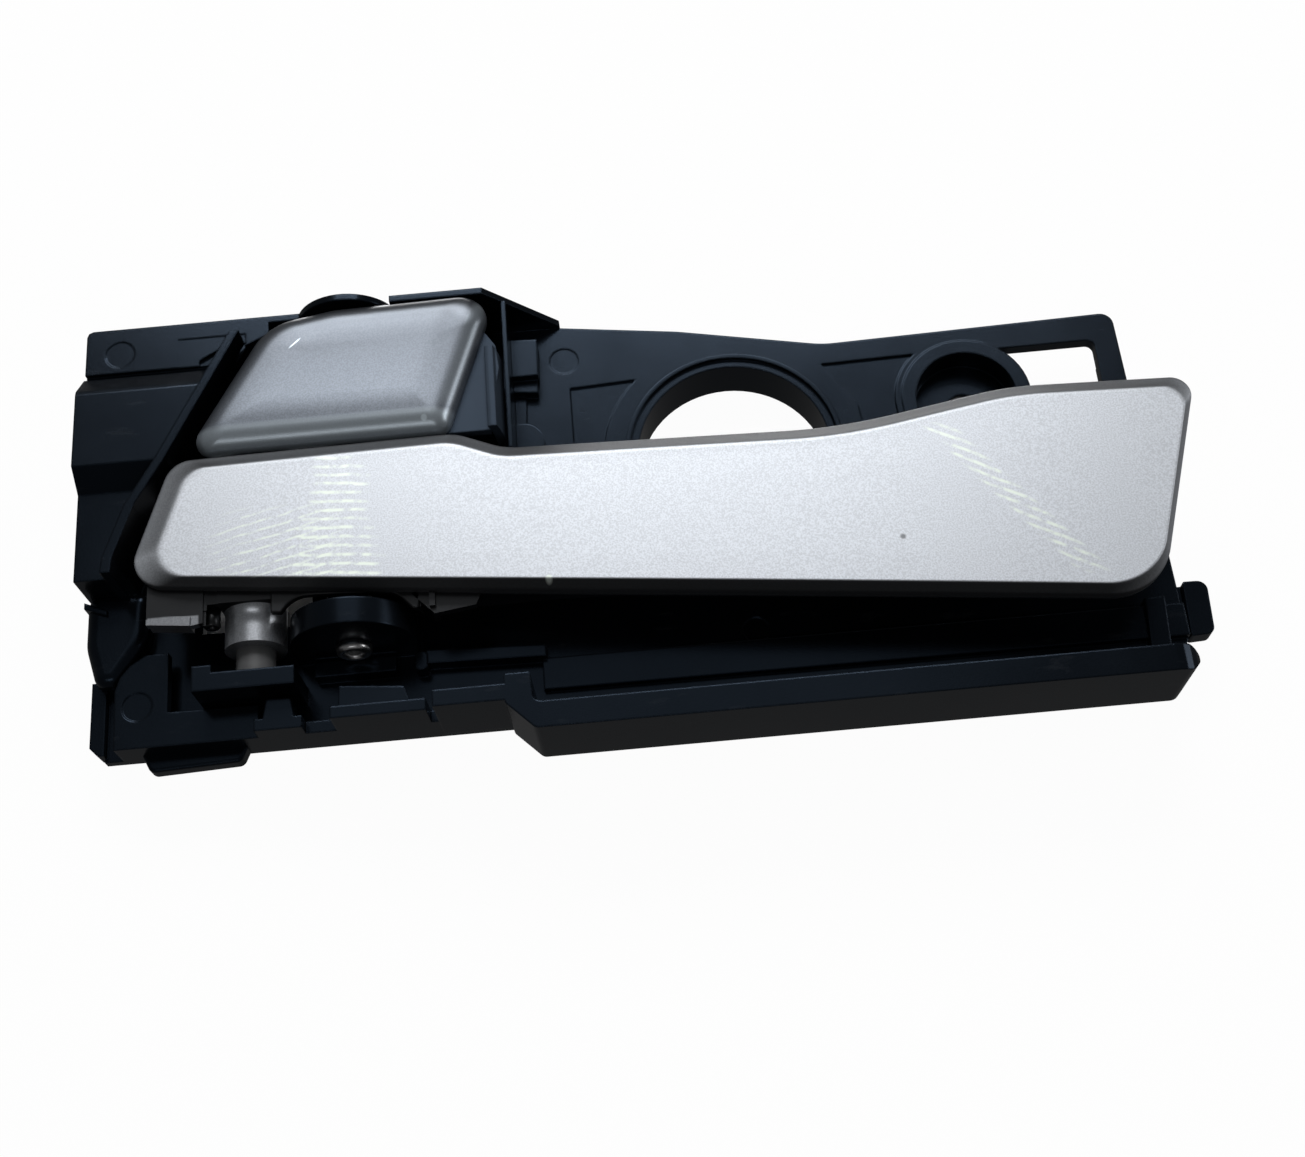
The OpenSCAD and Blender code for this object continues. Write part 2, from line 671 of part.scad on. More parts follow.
module release_handle() {
    back = -face_front + paddle_t;
    color([0.80, 0.81, 0.83])
    difference() {
        union() {
            difference() {
                cushion(handle_top_chain, handle_low_chain, [
                    [bevel + 0.9, -face_front, 1], [bevel, -face_front + 0.12, 1],
                    [bevel * 0.5, -face_front + 0.75, 1], [bevel * 0.18, -face_front + 1.5, 0.8],
                    [0, -face_front + 2.5, 0.5], [0.4, back, 0]], bow, -58, 97);
                slab(-face_front + paddle_wall + bow, back + 1)
                    polygon(inset(rounded(handle_corners, 3), paddle_wall));
            }
            handle_arm();
            handle_gussets();
            post(hinge, knuckle_r, knuckle_low, spring_low);
            post(hinge, knuckle_r, upper_knuckle, upper_knuckle + upper_knuckle_h);
            // Arms from the paddle back to both knuckles
            storey(upper_knuckle, upper_knuckle + upper_knuckle_h)
                translate([hinge[0] - knuckle_r, -face_front + paddle_wall])
                    square([2 * knuckle_r, face_front - paddle_wall - pivot_front]);
            storey(arm_low, spring_low)
                translate([hinge[0] - knuckle_r, -face_front + paddle_t - 0.4])
                    square([2 * knuckle_r, face_front - paddle_t + 0.4 - pivot_front]);
            // Cable arm behind the lower knuckle
            storey(cable_arm_low, cable_arm_low + cable_arm_t) {
                translate([hinge[0] - 2.6, hinge[1]])
                    square([5.2, arm_reach]);
                translate([hinge[0], hinge[1] + arm_reach])
                    circle(r = 3.4);
            }
        }
        post(hinge, hinge_bore_r, -60, 0);
        post([hinge[0], hinge[1] + arm_reach], clip_r, -60, -20);
    }
}

rest_x = -88;
rest_z = -24;
rest_seat = 18;
rest_tip = face_front - paddle_wall - bow - 0.3;
stop_x = -151;
stop_z = -22;
stop_tip = 14.2;

module handle_hinge_pin() {
    color([0.72, 0.73, 0.75])
        post(hinge, hinge_pin_r, pin_low, ear_low + ear_t + 2 * hinge_clip_t);
}

module push_clip(axis, r, low, t) {
    color([0.62, 0.63, 0.65])
    difference() {
        post(axis, r + 2.2, low, low + t);
        post(axis, r, low - 1, low + t + 1);
        for (a = [0:60:300])
            translate([axis[0], axis[1], low - 1])
                rotate(a)
                    translate([r - 0.2, -0.3, 0])
                        cube([1.2, 0.6, t + 2]);
    }
}

module hinge_pin_clip() {
    push_clip(hinge, hinge_pin_r, ear_low + ear_t, hinge_clip_t);
}

module bush(axis, r, bore, low, high) {
    difference() {
        post(axis, r, low, high);
        post(axis, bore, low - 1, high + 1);
    }
}

module lower_hinge_bush() {
    color([0.42, 0.43, 0.45])
        bush(hinge, bush_r, hinge_bore_r, shelf_z, knuckle_low);
}

module upper_hinge_bush() {
    color([0.42, 0.43, 0.45])
        bush(hinge, bush_r, hinge_bore_r, ear_low - upper_bush_h, ear_low);
}

// A wire coil about a pivot, closed at both ends, swept by rings along its helix
module coil(axis, r, wire, low, high, turns, start) {
    sides = 6;
    steps = 18 * turns;
    pitch = (high - low - 2 * wire) / turns;
    pts = [for (k = [0:steps])
        let (a = start + 360 * k / 18, z = low + wire + pitch * k / 18)
            for (s = [0:sides - 1])
                let (b = 360 * s / sides, d = r + wire * cos(b))
                    [axis[0] + d * cos(a), axis[1] + d * sin(a), z + wire * sin(b)]];
    faces = [for (k = [0:steps - 1]) for (s = [0:sides - 1])
        let (t = (s + 1) % sides, a = k * sides, b = (k + 1) * sides)
            each [[a + s, b + s, b + t], [a + s, b + t, a + t]]];
    first = [for (s = [0:sides - 1]) s];
    last = [for (s = [sides - 1:-1:0]) steps * sides + s];
    polyhedron(pts, concat([first], faces, [last]), convexity = 10);
}

spring_r = hinge_pin_r + 2.4;
spring_high = upper_knuckle - 0.1;
detent_r = lever_sleeve_r + 0.8;

module handle_return_spring() {
    color([0.55, 0.56, 0.58])
        coil(hinge, spring_r, spring_wire, spring_low + 0.1, spring_high, spring_turns, 90);
}

module lock_over_centre_spring() {
    color([0.55, 0.56, 0.58])
        coil(lock, detent_r, detent_wire, neck_top + 0.1, lever_low - 0.1, detent_turns, 90);
}

module buffer(x, z, r, tip, seat) {
    color([0.09, 0.09, 0.10]) {
        stud(x, z, r, -tip + 0.8, -seat);
        translate([x, -tip + 0.8, z])
            rotate([90, 0, 0])
                cylinder(r1 = r, r2 = r - 0.8, h = 0.8);
    }
}

module handle_rest_buffer() {
    buffer(rest_x, rest_z, 3.2, rest_tip, rest_seat);
}

module pull_stop_buffer() {
    buffer(stop_x, stop_z, 3, stop_tip, plate_front);
}

// Snap clip that holds the ball end of a cable in an arm
module cable_clip(at, low, t) {
    color([0.82, 0.80, 0.72]) {
        post(at, clip_r - 0.02, low, low + t);
        post(at, clip_r + 1.3, low - clip_cap_t, low);
        post(at, clip_r + 0.3, low + t, low + t + 0.8);
    }
}

module release_cable_clip() {
    cable_clip([hinge[0], hinge[1] + arm_reach], cable_arm_low, cable_arm_t);
}

// The rocking knob: a cushion with a curved skirt at its right and two pivot ears behind
module lock_knob() {
    back = -knob_front + knob_t;
    color([0.52, 0.53, 0.55])
    difference() {
        union() {
            difference() {
                cushion(knob_top_chain, knob_low_chain, [
                    [7, -knob_front, 0], [4.6, -knob_front + 0.15, 0], [2.8, -knob_front + 0.6, 0],
                    [1.4, -knob_front + 1.35, 0], [0.4, -knob_front + 2.5, 0], [0, -knob_front + 3.6, 0],
                    [0.3, back, 0]], 0, -118, 30);
                slab(-knob_front + 2.4, back + 1)
                    polygon(inset(rounded(knob_corners, 3), 2.4));
            }
            knob_skirt();
            knob_ear(knob_top_ear, knob_top_ear + knob_ear_t);
            knob_ear(knob_base + 0.2, knob_base + 0.2 + knob_ear_t);
        }
        post(lock, lock_hole_r, -30, 40);
        for (s = [-1, 1])
            post([lock[0] + s * lever_screw_off, lock[1]], 1.1, knob_base - 1, knob_base + 4);
    }
}

module knob_skirt() {
    skirt_x = lock[0] + skirt_r;
    storey(knob_base + 0.8, 12)
        difference() {
            translate(lock)
                circle(r = skirt_r);
            translate(lock)
                circle(r = skirt_r - skirt_t);
            translate(lock)
                polygon([[0, 0], 60 * [cos(10), sin(10)], [60, 60], [-60, 60], [-60, -60],
                    60 * [cos(-16), sin(-16)]]);
        }
    slab(-knob_front + 4, -knob_front + 5.8)
        polygon([
            [-100, knob_base + 0.6], [skirt_x - 2.3, knob_base + 0.6], [skirt_x - 0.2, 7.6],
            [skirt_x - 0.6, 12.4], [skirt_x - 3.2, 16.6], [-96, 16.6]]);
}

module knob_ear(low, high) {
    storey(low, high)
        polygon([
            [lock[0] - 10, -22.4], [lock[0] + 10, -22.4], [lock[0] + 8.6, -13.2],
            [lock[0] + 6.6, -11.2], [lock[0] - 6.6, -11.2], [lock[0] - 8.6, -13.2]]);
}

// Lever under the knob, keyed on the same pin, whose arm pulls the lock cable
module lock_lever() {
    color([0.10, 0.11, 0.12])
    difference() {
        union() {
            post(lock, lever_hub_r, lever_low, knob_base + 0.2);
            post(lock, lever_sleeve_r, neck_top + 0.3, lever_low + 1);
            storey(knob_base - 1.6, knob_base + 0.2)
                translate([lock[0] - 8.4, lock[1] - 2])
                    square([16.8, 4.4]);
            storey(lever_low, lever_low + 4) {
                translate([lock[0] - 2.4, lock[1]])
                    square([4.8, arm_reach]);
                translate([lock[0], lock[1] + arm_reach])
                    circle(r = 3.2);
            }
        }
        post(lock, lock_hole_r, neck_top - 1, knob_base + 1);
        post([lock[0], lock[1] + arm_reach], clip_r, lever_low - 1, lever_low + 5);
        for (s = [-1, 1])
            post([lock[0] + s * lever_screw_off, lock[1]], 1.1, knob_base - 3, knob_base + 1);
    }
}

module lock_lever_screws() {
    color([0.60, 0.61, 0.63])
        for (s = [-1, 1]) {
            post([lock[0] + s * lever_screw_off, lock[1]], 1.08, knob_base - 1.6, knob_base + 3);
            post([lock[0] + s * lever_screw_off, lock[1]], 1.8, knob_base - 2.6, knob_base - 1.6);
        }
}

module lock_cable_clip() {
    cable_clip([lock[0], lock[1] + arm_reach], lever_low, 4);
}

module lock_pivot_pin() {
    color([0.66, 0.67, 0.69])
    difference() {
        union() {
            post(lock, lock_pin_r, boss_low - 0.8, top_z + 1.6);
            post(lock, lock_head_r, boss_low - lock_head_t + 0.7, boss_low);
            translate([lock[0], lock[1], boss_low - lock_head_t])
                cylinder(r1 = lock_head_r - 0.8, r2 = lock_head_r, h = 0.7);
        }
        post(lock, lock_bore_r, boss_low - 3, top_z + 3);
    }
}

module lock_pin_clip() {
    push_clip(lock, lock_pin_r, top_z, 0.8);
}

module sheath_clip(z) {
    color([0.82, 0.80, 0.72])
    difference() {
        translate([socket_x1, socket_y, z])
            rotate([0, 90, 0])
                cylinder(r = sheath_clip_r, h = sheath_clip_t);
        translate([socket_x1 - 1, socket_y, z])
            rotate([0, 90, 0])
                cylinder(r = sheath_r - 1.1, h = sheath_clip_t + 2);
        translate([socket_x1 - 1, socket_y, z - 0.9])
            cube([4, 12, 1.8]);
    }
}

module release_sheath_clip() {
    sheath_clip(release_socket_z);
}

module lock_sheath_clip() {
    sheath_clip(lock_socket_z);
}

module fixing_sleeve() {
    color([0.70, 0.71, 0.73])
    difference() {
        union() {
            stud(0, 0, screw_r + sleeve_t, -cup_floor + sleeve_inset, 0);
            stud(0, 0, screw_r + sleeve_t + sleeve_flange_w, -sleeve_inset, 0);
        }
        stud(0, 0, screw_r, -20, 5);
    }
}

felt_t = 2.4;

module rear_felt_pads() {
    color([0.16, 0.16, 0.17]) {
        slab(plate_back, plate_back + felt_t)
            polygon([[right_x - 5, 6], [right_x - 1, 6], [right_x - 1, -20], [right_x - 5, -20]]);
        slab(plate_back, plate_back + felt_t)
            polygon([[-72, -50], [0, -50], [0, -45], [-72, -45]]);
    }
}

base_housing();
release_handle();
handle_hinge_pin();
hinge_pin_clip();
lower_hinge_bush();
upper_hinge_bush();
handle_return_spring();
handle_rest_buffer();
pull_stop_buffer();
release_cable_clip();
lock_knob();
lock_lever();
lock_pivot_pin();
lock_pin_clip();
lock_over_centre_spring();
lock_cable_clip();
lock_lever_screws();
release_sheath_clip();
lock_sheath_clip();
fixing_sleeve();
rear_felt_pads();
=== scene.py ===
# %% [markdown]
# # A car's interior door handle
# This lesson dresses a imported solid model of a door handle: a long silver pull handle, a darker
# lock knob above it, and the black moulding that carries both. The solids come from the frame
# and stay where they are. Smooth painted forms get a finer skin, and every piece gets a finish.

# %% Load the frame
import math
import bpy
import bmesh
import numpy as np
from mathutils import Matrix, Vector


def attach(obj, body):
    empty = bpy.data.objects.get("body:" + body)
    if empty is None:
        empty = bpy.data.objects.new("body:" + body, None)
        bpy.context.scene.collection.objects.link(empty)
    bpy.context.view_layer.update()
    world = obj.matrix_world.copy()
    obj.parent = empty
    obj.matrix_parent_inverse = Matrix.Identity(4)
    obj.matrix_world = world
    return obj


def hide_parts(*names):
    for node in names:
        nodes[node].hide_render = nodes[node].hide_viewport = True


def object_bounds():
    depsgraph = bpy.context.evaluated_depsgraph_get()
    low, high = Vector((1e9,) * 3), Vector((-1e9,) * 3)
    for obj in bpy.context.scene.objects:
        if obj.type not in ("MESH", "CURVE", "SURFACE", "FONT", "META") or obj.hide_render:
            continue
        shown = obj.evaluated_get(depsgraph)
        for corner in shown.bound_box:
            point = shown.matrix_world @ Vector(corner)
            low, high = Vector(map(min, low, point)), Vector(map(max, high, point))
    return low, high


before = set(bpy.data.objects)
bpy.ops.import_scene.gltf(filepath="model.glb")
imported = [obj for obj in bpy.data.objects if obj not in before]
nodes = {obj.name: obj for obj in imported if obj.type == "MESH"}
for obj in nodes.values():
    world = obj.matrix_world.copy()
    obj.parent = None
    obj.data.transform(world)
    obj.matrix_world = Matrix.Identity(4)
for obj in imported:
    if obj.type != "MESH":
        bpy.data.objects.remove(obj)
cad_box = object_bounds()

MM = 0.001
print("nodes:", len(nodes), "box in mm:", [[round(v / MM, 1) for v in corner] for corner in cad_box])

# %% [markdown]
# The camera stands in front of the handle and below it, and looks up at 24 degrees, as the
# photograph does. The picture leans a little, so the camera is rolled by 5 degrees. The lens
# follows from how fast the parallel edges run together. A constraint could aim the camera, but
# its three axes are worked out here, because that keeps the roll exact.

# %% Camera
CAMERA_AT = np.array([-62.999, -309.470, -165.860]) * MM
LOOK_UP = math.radians(24)
ROLL = math.radians(5.15)
FOCAL_PX, IMAGE_W, SENSOR_W = 1787.0, 1305.0, 36.0
NEAREST = 10 * MM


def placed(right, up, back, at):
    """The matrix that has right, up and back as an object's own axes and at as its place."""
    matrix = np.eye(4)
    matrix[:3] = np.stack([right, up, back, at], axis=1)
    return Matrix(matrix.tolist())


view_dir = np.array([0, math.cos(LOOK_UP), math.sin(LOOK_UP)])
level_up = np.array([0, -math.sin(LOOK_UP), math.cos(LOOK_UP)])
along_x = np.array([1.0, 0, 0])
cam_right = math.cos(ROLL) * along_x - math.sin(ROLL) * level_up
cam_up = math.sin(ROLL) * along_x + math.cos(ROLL) * level_up

camera = bpy.data.objects.new("camera", bpy.data.cameras.new("camera"))
camera.data.sensor_width = SENSOR_W
camera.data.lens = FOCAL_PX / IMAGE_W * SENSOR_W
camera.data.clip_start = NEAREST
camera.matrix_world = placed(cam_right, cam_up, -view_dir, CAMERA_AT)
bpy.context.scene.collection.objects.link(camera)
bpy.context.scene.camera = camera
print("lens in mm:", round(camera.data.lens, 1))

# %% [markdown]
# Shader maths reads best as Python. Nodes could be placed and linked one by one, but then a
# formula of ten terms fills a page. So `Field` wraps one socket, and its operators add the Math
# nodes.

# %% A socket that can be added and multiplied
class Field:
    """A shader value. Arithmetic on it adds Math nodes to the tree it belongs to."""

    def __init__(self, owner, socket):
        self.owner, self.socket = owner, socket

    def math(self, operation, *others, clamp=False):
        """Adds the Math node of one operation on this value and others."""
        settings = {"operation": operation, "use_clamp": clamp}
        return self.owner.node("ShaderNodeMath", settings, dict(enumerate((self, *others))))

    def __add__(self, other): return self.math("ADD", other)
    __radd__ = __add__
    def __mul__(self, other): return self.math("MULTIPLY", other)
    __rmul__ = __mul__
    def __sub__(self, other): return self.math("SUBTRACT", other)
    def __rsub__(self, other): return (self * -1).math("ADD", other)
    def __truediv__(self, other): return self.math("DIVIDE", other)
    def __pow__(self, other): return self.math("POWER", other)
    def __abs__(self): return self.math("ABSOLUTE")
    def clamp(self): return self.math("ADD", 0.0, clamp=True)

    def step(self, low, high):
        """0 below low, 1 above high, and a straight ramp between them."""
        return ((self - low) / (high - low)).clamp()


# %% [markdown]
# All other nodes come from one method, which takes a node's type, its settings, and the values or
# links of its sockets. `Finish` is a tree of nodes round one Principled shader. It adds the few
# patterns from which every finish of this handle is mixed.

# %% Trees of nodes and finishes
class NodeTree:
    """The nodes of one material or of the world."""

    def __init__(self, tree):
        self.tree = tree

    def node(self, kind, settings=None, inputs=None, output=0):
        """Adds a node and gives one of its outputs."""
        made = self.tree.nodes.new(kind)
        for key, value in (settings or {}).items():
            setattr(made, key, value)
        for key, value in (inputs or {}).items():
            self.join(made.inputs[key], value)
        return Field(self, made.outputs[output])

    def join(self, socket, value):
        """Links a field to a socket, or sets the socket to a plain value."""
        if isinstance(value, Field):
            self.tree.links.new(value.socket, socket)
        else:
            socket.default_value = value

    def here(self):
        """Object coordinates in metres, which are the frame's own."""
        return self.node("ShaderNodeTexCoord", output="Object")

    def axes(self):
        """The three object coordinates in millimetres."""
        split = self.node("ShaderNodeSeparateXYZ", inputs={0: self.here()})
        return [Field(self, split.socket.node.outputs[k]) / MM for k in range(3)]

    def spot(self, x, z, radius, soft):
        """1 within a radius of a place on the front, falling to 0 over a soft rim."""
        at_x, _, at_z = self.axes()
        away = ((at_x - x) ** 2.0 + (at_z - z) ** 2.0) ** 0.5
        return 1 - away.step(radius, radius + soft)


class Finish(NodeTree):
    """One material, built round a single Principled shader."""

    def __init__(self, name, **constants):
        self.material = bpy.data.materials.new(name)
        self.material.use_nodes = True
        super().__init__(self.material.node_tree)
        self.shader = self.tree.nodes["Principled BSDF"]
        for socket, value in constants.items():
            self.set(socket.replace("_", " ").title().replace("Ior", "IOR"), value)

    def set(self, socket, value):
        """Feeds one socket of the shader."""
        self.join(self.shader.inputs[socket], value)

    def stored(self, name):
        """A value kept at the points of the piece's own mesh."""
        return self.node("ShaderNodeAttribute", {"attribute_name": name}, output="Fac")

    def noise(self, per_mm, detail=2.0, rough=0.5, stretch=(1, 1, 1)):
        """Cloudy values round 0.5, with per_mm features in each millimetre."""
        where = self.node("ShaderNodeMapping", inputs={0: self.here(), "Scale": stretch})
        return self.node("ShaderNodeTexNoise", inputs={
            "Vector": where, "Scale": per_mm / MM, "Detail": detail, "Roughness": rough})

    def blend(self, mask, low, high):
        """Colour low where mask is 0 and colour high where it is 1."""
        return self.node("ShaderNodeMix", {"data_type": "RGBA"}, {0: mask, 6: low, 7: high}, 2)

    def bump(self, height, depth_mm, normal=None):
        """A normal tilted by a height field, on top of another normal where one is given."""
        inputs = {"Height": height, "Distance": depth_mm * MM, "Strength": 1.0}
        if normal is not None:
            inputs["Normal"] = normal
        return self.node("ShaderNodeBump", inputs=inputs)

    def soft_edges(self, radius_mm):
        """A normal that is rounded over the sharp edges of a solid."""
        return self.node("ShaderNodeBevel", {"samples": 6}, {"Radius": radius_mm * MM})


def grey(v, blue=0.0):
    """A grey of linear shade v, a little bluer by the given share."""
    return (v, v * (1 + blue * 0.4), v * (1 + blue), 1.0)


print("a grey with a touch of blue:", [round(c, 3) for c in grey(0.1, 0.2)])

# %% [markdown]
# The base is a glass-filled nylon moulding. It is nearly black with a touch of blue, satin where
# the tool was polished, and its skin shows faint flow clouds and a very fine grain. Fine pale
# rubs sit on it where it was handled. Its many small edges are rounded on the real part. A bevel
# on every solid would change the meshes, so a Bevel node rounds only what the light sees.

# %% Black moulding
BLUE_SHEEN = (0.48, 0.69, 1.0, 1.0)
RUBBED_BLACK = grey(0.03, 0.2)
MOULDED_EDGE, GRAIN_DEPTH = 0.45, 0.006


def black_moulding(name, shade, rough):
    """Nylon of one linear shade, whose roughness runs a little up and down from rough."""
    finish = Finish(name, specular_ior_level=0.30, specular_tint=BLUE_SHEEN)
    cloud, grain = finish.noise(0.05, 3), finish.noise(3.0, 2)
    rub = finish.noise(0.35, 4, 0.6, (0.3, 1, 1)).step(0.62, 0.72)
    colour = finish.blend(cloud.step(0.3, 0.7), grey(shade * 0.8, 0.9), grey(shade * 1.3, 0.8))
    finish.set("Base Color", finish.blend(rub * 0.2, colour, RUBBED_BLACK))
    finish.set("Roughness", rough + 0.14 * cloud + 0.06 * grain - 0.03)
    finish.set("Normal", finish.bump(grain, GRAIN_DEPTH, finish.soft_edges(MOULDED_EDGE)))
    return finish.material


MOULDING = black_moulding("black_moulding", 0.0022, 0.15)
LEVER_PLASTIC = black_moulding("lever_plastic", 0.010, 0.45)
SKIRT_PLASTIC = black_moulding("knob_skirt_plastic", 0.030, 0.45)
print("black mouldings:", MOULDING.name, LEVER_PLASTIC.name, SKIRT_PLASTIC.name)

# %% [markdown]
# The handle and the knob are painted plastic. Silver paint is a clear layer over tiny aluminium flakes,
# which lie flat on a face and make it bright. Its slopes also get painted shade, more on some sides than on
# others. A node that asks for the angle to the camera could do that, but it couldn't be baked. So the mesh
# stores the painted shade, and the paint reads it.

# %% Silver paint
# The grey that the painted shade on slopes goes towards.
SLOPE_SHADE = grey(0.02, 0.1)
FLAKE_DEPTH = 0.0022


def silver_paint(name, shade, rough, metallic, slopes=0.0, marks=None, pale=(0.86, 0.93, 0.86, 1),
                 specks_and_shade=None, shaded_share=0.36, blue=0.13):
    """Paint of one linear shade, a little blue. The share given by slopes is painted shade, taken off where
    the mesh says so; marks gives a field of pale marks, painted reflections and painted highlights in the
    pale colour; and specks_and_shade gives a field of dark specks and painted shade, in which the shade
    falls to the share shaded_share."""
    finish = Finish(name, specular_ior_level=0.5)
    flake, cloud = finish.noise(3.4, 1), finish.noise(0.03, 2)
    speckle = flake.step(0.36, 0.64)
    scuff = finish.noise(0.12, 5, 0.65, (0.25, 1, 1)).step(0.60, 0.74)
    colour = finish.blend(speckle, grey(shade * 0.88, blue), grey(shade * 1.10, blue))
    colour = finish.blend(scuff * 0.04, colour, grey(shade * 0.8))
    # Dark specks and painted shade.
    if specks_and_shade is not None:
        colour = finish.blend(specks_and_shade(finish), colour, grey(shade * shaded_share, blue))
    # Painted shade on slopes.
    if slopes > 0:
        colour = finish.blend(finish.stored("slope") * slopes, colour, SLOPE_SHADE)
    # Pale marks, painted reflection streaks and painted highlights.
    if marks is not None:
        colour = finish.blend(marks(finish), colour, pale)
    finish.set("Base Color", colour)
    finish.set("Roughness", rough + 0.05 * cloud + 0.10 * scuff)
    finish.set("Metallic", metallic)
    finish.set("Normal", finish.bump(flake, FLAKE_DEPTH))
    return finish.material


print("paint on the steepest slope:", [round(c, 3) for c in SLOPE_SHADE])

# %% [markdown]
# The face carries two groups of pale streaks, which are painted reflections. At the left, level strokes lie
# one under the other and fan out towards the lower corner. At the right, a slanting band of short strokes
# runs down to the free end. A picture of streaks could be laid on, but a formula stays sharp at any
# distance: thin lines a step apart, times a mask for where the group lies, times a mask that breaks them
# into patches.

# %% Painted reflection streaks on the handle
STROKE_STEP = 1.75
STACK_LEFT, STACK_RIGHT = -118.7, -114.2
FAN_LEFT, FAN_RIGHT, FAN_TOP = -141.0, -117.0, -18.5
BAND_X, BAND_Z, BAND_HALF, BAND_TOP, BAND_END = -9.8, -15.2, 2.4, -14.2, -46.5
ACROSS_BAND = (0.802, 0.598)
# The face ends at z = FACE_TOP and at the line z = -FACE_LOW - FACE_FALL * x.
FACE_TOP, FACE_LOW, FACE_FALL = -9.9, 47.9, 0.1067
PALE_SPOT, DARK_NICK = (-80.9, -38.2), (-18.9, -36.3)
DIM_LEFT, DIM_RIGHT = -120, (-8, 36)


def strokes(across, width=0.16):
    """Thin lines one step apart: 1 on a line and 0 between them."""
    saw = (across / STROKE_STEP).math("FRACT")
    return 1 - abs(saw - 0.5).step(width * 0.5, width * 1.6)


def handle_reflection_streaks(finish):
    """Painted reflection streaks: the stack, its fan and the slanting band, broken into patches, and a
    small pale spot. All streaks stop where the face turns into the bevel."""
    x, _, z = finish.axes()
    waver = finish.noise(0.16, 3) - 0.5
    patchy = finish.noise(0.45, 4, 0.6).step(0.36, 0.56)
    stack = (x - (STACK_LEFT + 0.22 * z) + 9 * waver).step(-0.6, 1.4)
    stack = stack * ((STACK_RIGHT - 0.10 * z) - x + 9 * waver).step(-0.6, 1.4)
    stack = stack * strokes(z + 0.095 * x + 1.1 * waver)
    fan = (x - FAN_LEFT + 16 * waver).step(0, 5) * (FAN_RIGHT - x).step(-1, 3)
    fan = fan * (FAN_TOP - z).step(0, 3) * strokes(z - 0.24 * x + 1.4 * waver, 0.11)
    across = ACROSS_BAND[0] * (x - BAND_X) + ACROSS_BAND[1] * (z - BAND_Z)
    band = (BAND_HALF - abs(across)).step(0, 0.8) * strokes(z + 0.55 * x + 0.9 * waver, 0.18)
    band = band * (BAND_TOP - z).step(0, 1.5) * (z - BAND_END).step(0, 2)
    on_face = (z + FACE_FALL * x + FACE_LOW).step(0.9, 1.7) * (FACE_TOP - z).step(0, 0.8)
    # The painted reflection streaks, broken into patches, only on the face.
    streaks = (0.95 * stack + 0.75 * fan + 0.9 * band) * patchy * on_face
    return (streaks + finish.spot(*PALE_SPOT, 0.35, 0.4)).clamp()


def handle_speck_and_shade(finish):
    """A dark nick, and painted shade that makes the face darker towards its two ends."""
    x, _, z = finish.axes()
    end = (x + 0.3 * z).step(*DIM_RIGHT) + (DIM_LEFT - x).step(0, 40)
    return (finish.spot(*DARK_NICK, 0.30, 0.35) + 0.04 * end).clamp()


stack_height = FACE_TOP + FACE_LOW + FACE_FALL * STACK_LEFT
print("strokes in the stack:", round(stack_height / STROKE_STEP))

# %% [markdown]
# The knob is a soft cushion. Light runs along a ridge at its lower edge and another at its right edge, and
# behind each ridge lies a crease. They could be modelled, but one photograph doesn't tell how deep they
# are, so the ridges are painted highlights and the creases painted shade, in bands beside the knob's edges.

# %% Ridges and creases of the knob
KNOB_BASE, KNOB_RIGHT, KNOB_LEAN = -6.0, -97.9, 0.353
KNOB_MIDDLE, TOP_SHADE = -118, (2, 24)
RIDGE_Z, CREASE_Z, SIDE_RIDGE, SIDE_CREASE = -1.3, -0.3, 2.0, 7.5
SCRATCH_X, SCRATCH_Z, KNOB_NICK = -125.3, 14.4, (-101.8, -3.5)


def from_right_edge(x, z):
    """How far inside the knob's slanting right edge a place lies."""
    return (KNOB_RIGHT + KNOB_LEAN * (z - KNOB_BASE)) - x


def knob_marks_and_highlights(finish):
    """A short scratch, a nick, and painted highlights on the two ridges along the lower and right edge."""
    x, _, z = finish.axes()
    along = abs(z - SCRATCH_Z - 0.9 * (x - SCRATCH_X))
    scratch = (1 - along.step(0.08, 0.25)) * (1.2 - abs(x - SCRATCH_X)).step(0, 0.6)
    ridge = (RIDGE_Z - z).step(0, 1.1)
    side = 1 - abs(from_right_edge(x, z) - SIDE_RIDGE).step(0.4, 1.6)
    # Painted highlights along the lower and the right ridge.
    lit = 0.44 * ridge + 0.20 * side * (z + 1.5).step(0, 2)
    return (0.8 * scratch + 0.8 * finish.spot(*KNOB_NICK, 0.3, 0.4) + lit).clamp()


def knob_painted_shade(finish):
    """Painted shade: the knob is darker towards its top and in the soft creases behind its two ridges."""
    x, _, z = finish.axes()
    inside = from_right_edge(x, z)
    low_crease = (1 - abs(z - CREASE_Z).step(0.2, 2.0)) * (inside - 3).step(0, 2)
    side_crease = (1 - abs(inside - SIDE_CREASE).step(0.3, 2.2)) * (z + 1).step(0, 2)
    top = (z + 0.12 * (x - KNOB_MIDDLE)).step(*TOP_SHADE)
    return (0.85 * top + 0.12 * low_crease + 0.07 * side_crease).clamp()


print("right edge leans by degrees:", round(math.degrees(math.atan(KNOB_LEAN)), 1))

# %% [markdown]
# The back of the handle has the same paint, but its webs lie in the handle's own shade. Lamps
# alone left them too bright beside the photograph, so a field darkens all but the round knuckle
# and the lit strip at its left.

# %% The three paints
HINGE_X, HINGE_Y, KNUCKLE_R = -134.5, -15.8, 5.5
STRIP_LOW, STRIP_HIGH, STRIP_RIGHT = -39.9, -37.2, -143.0


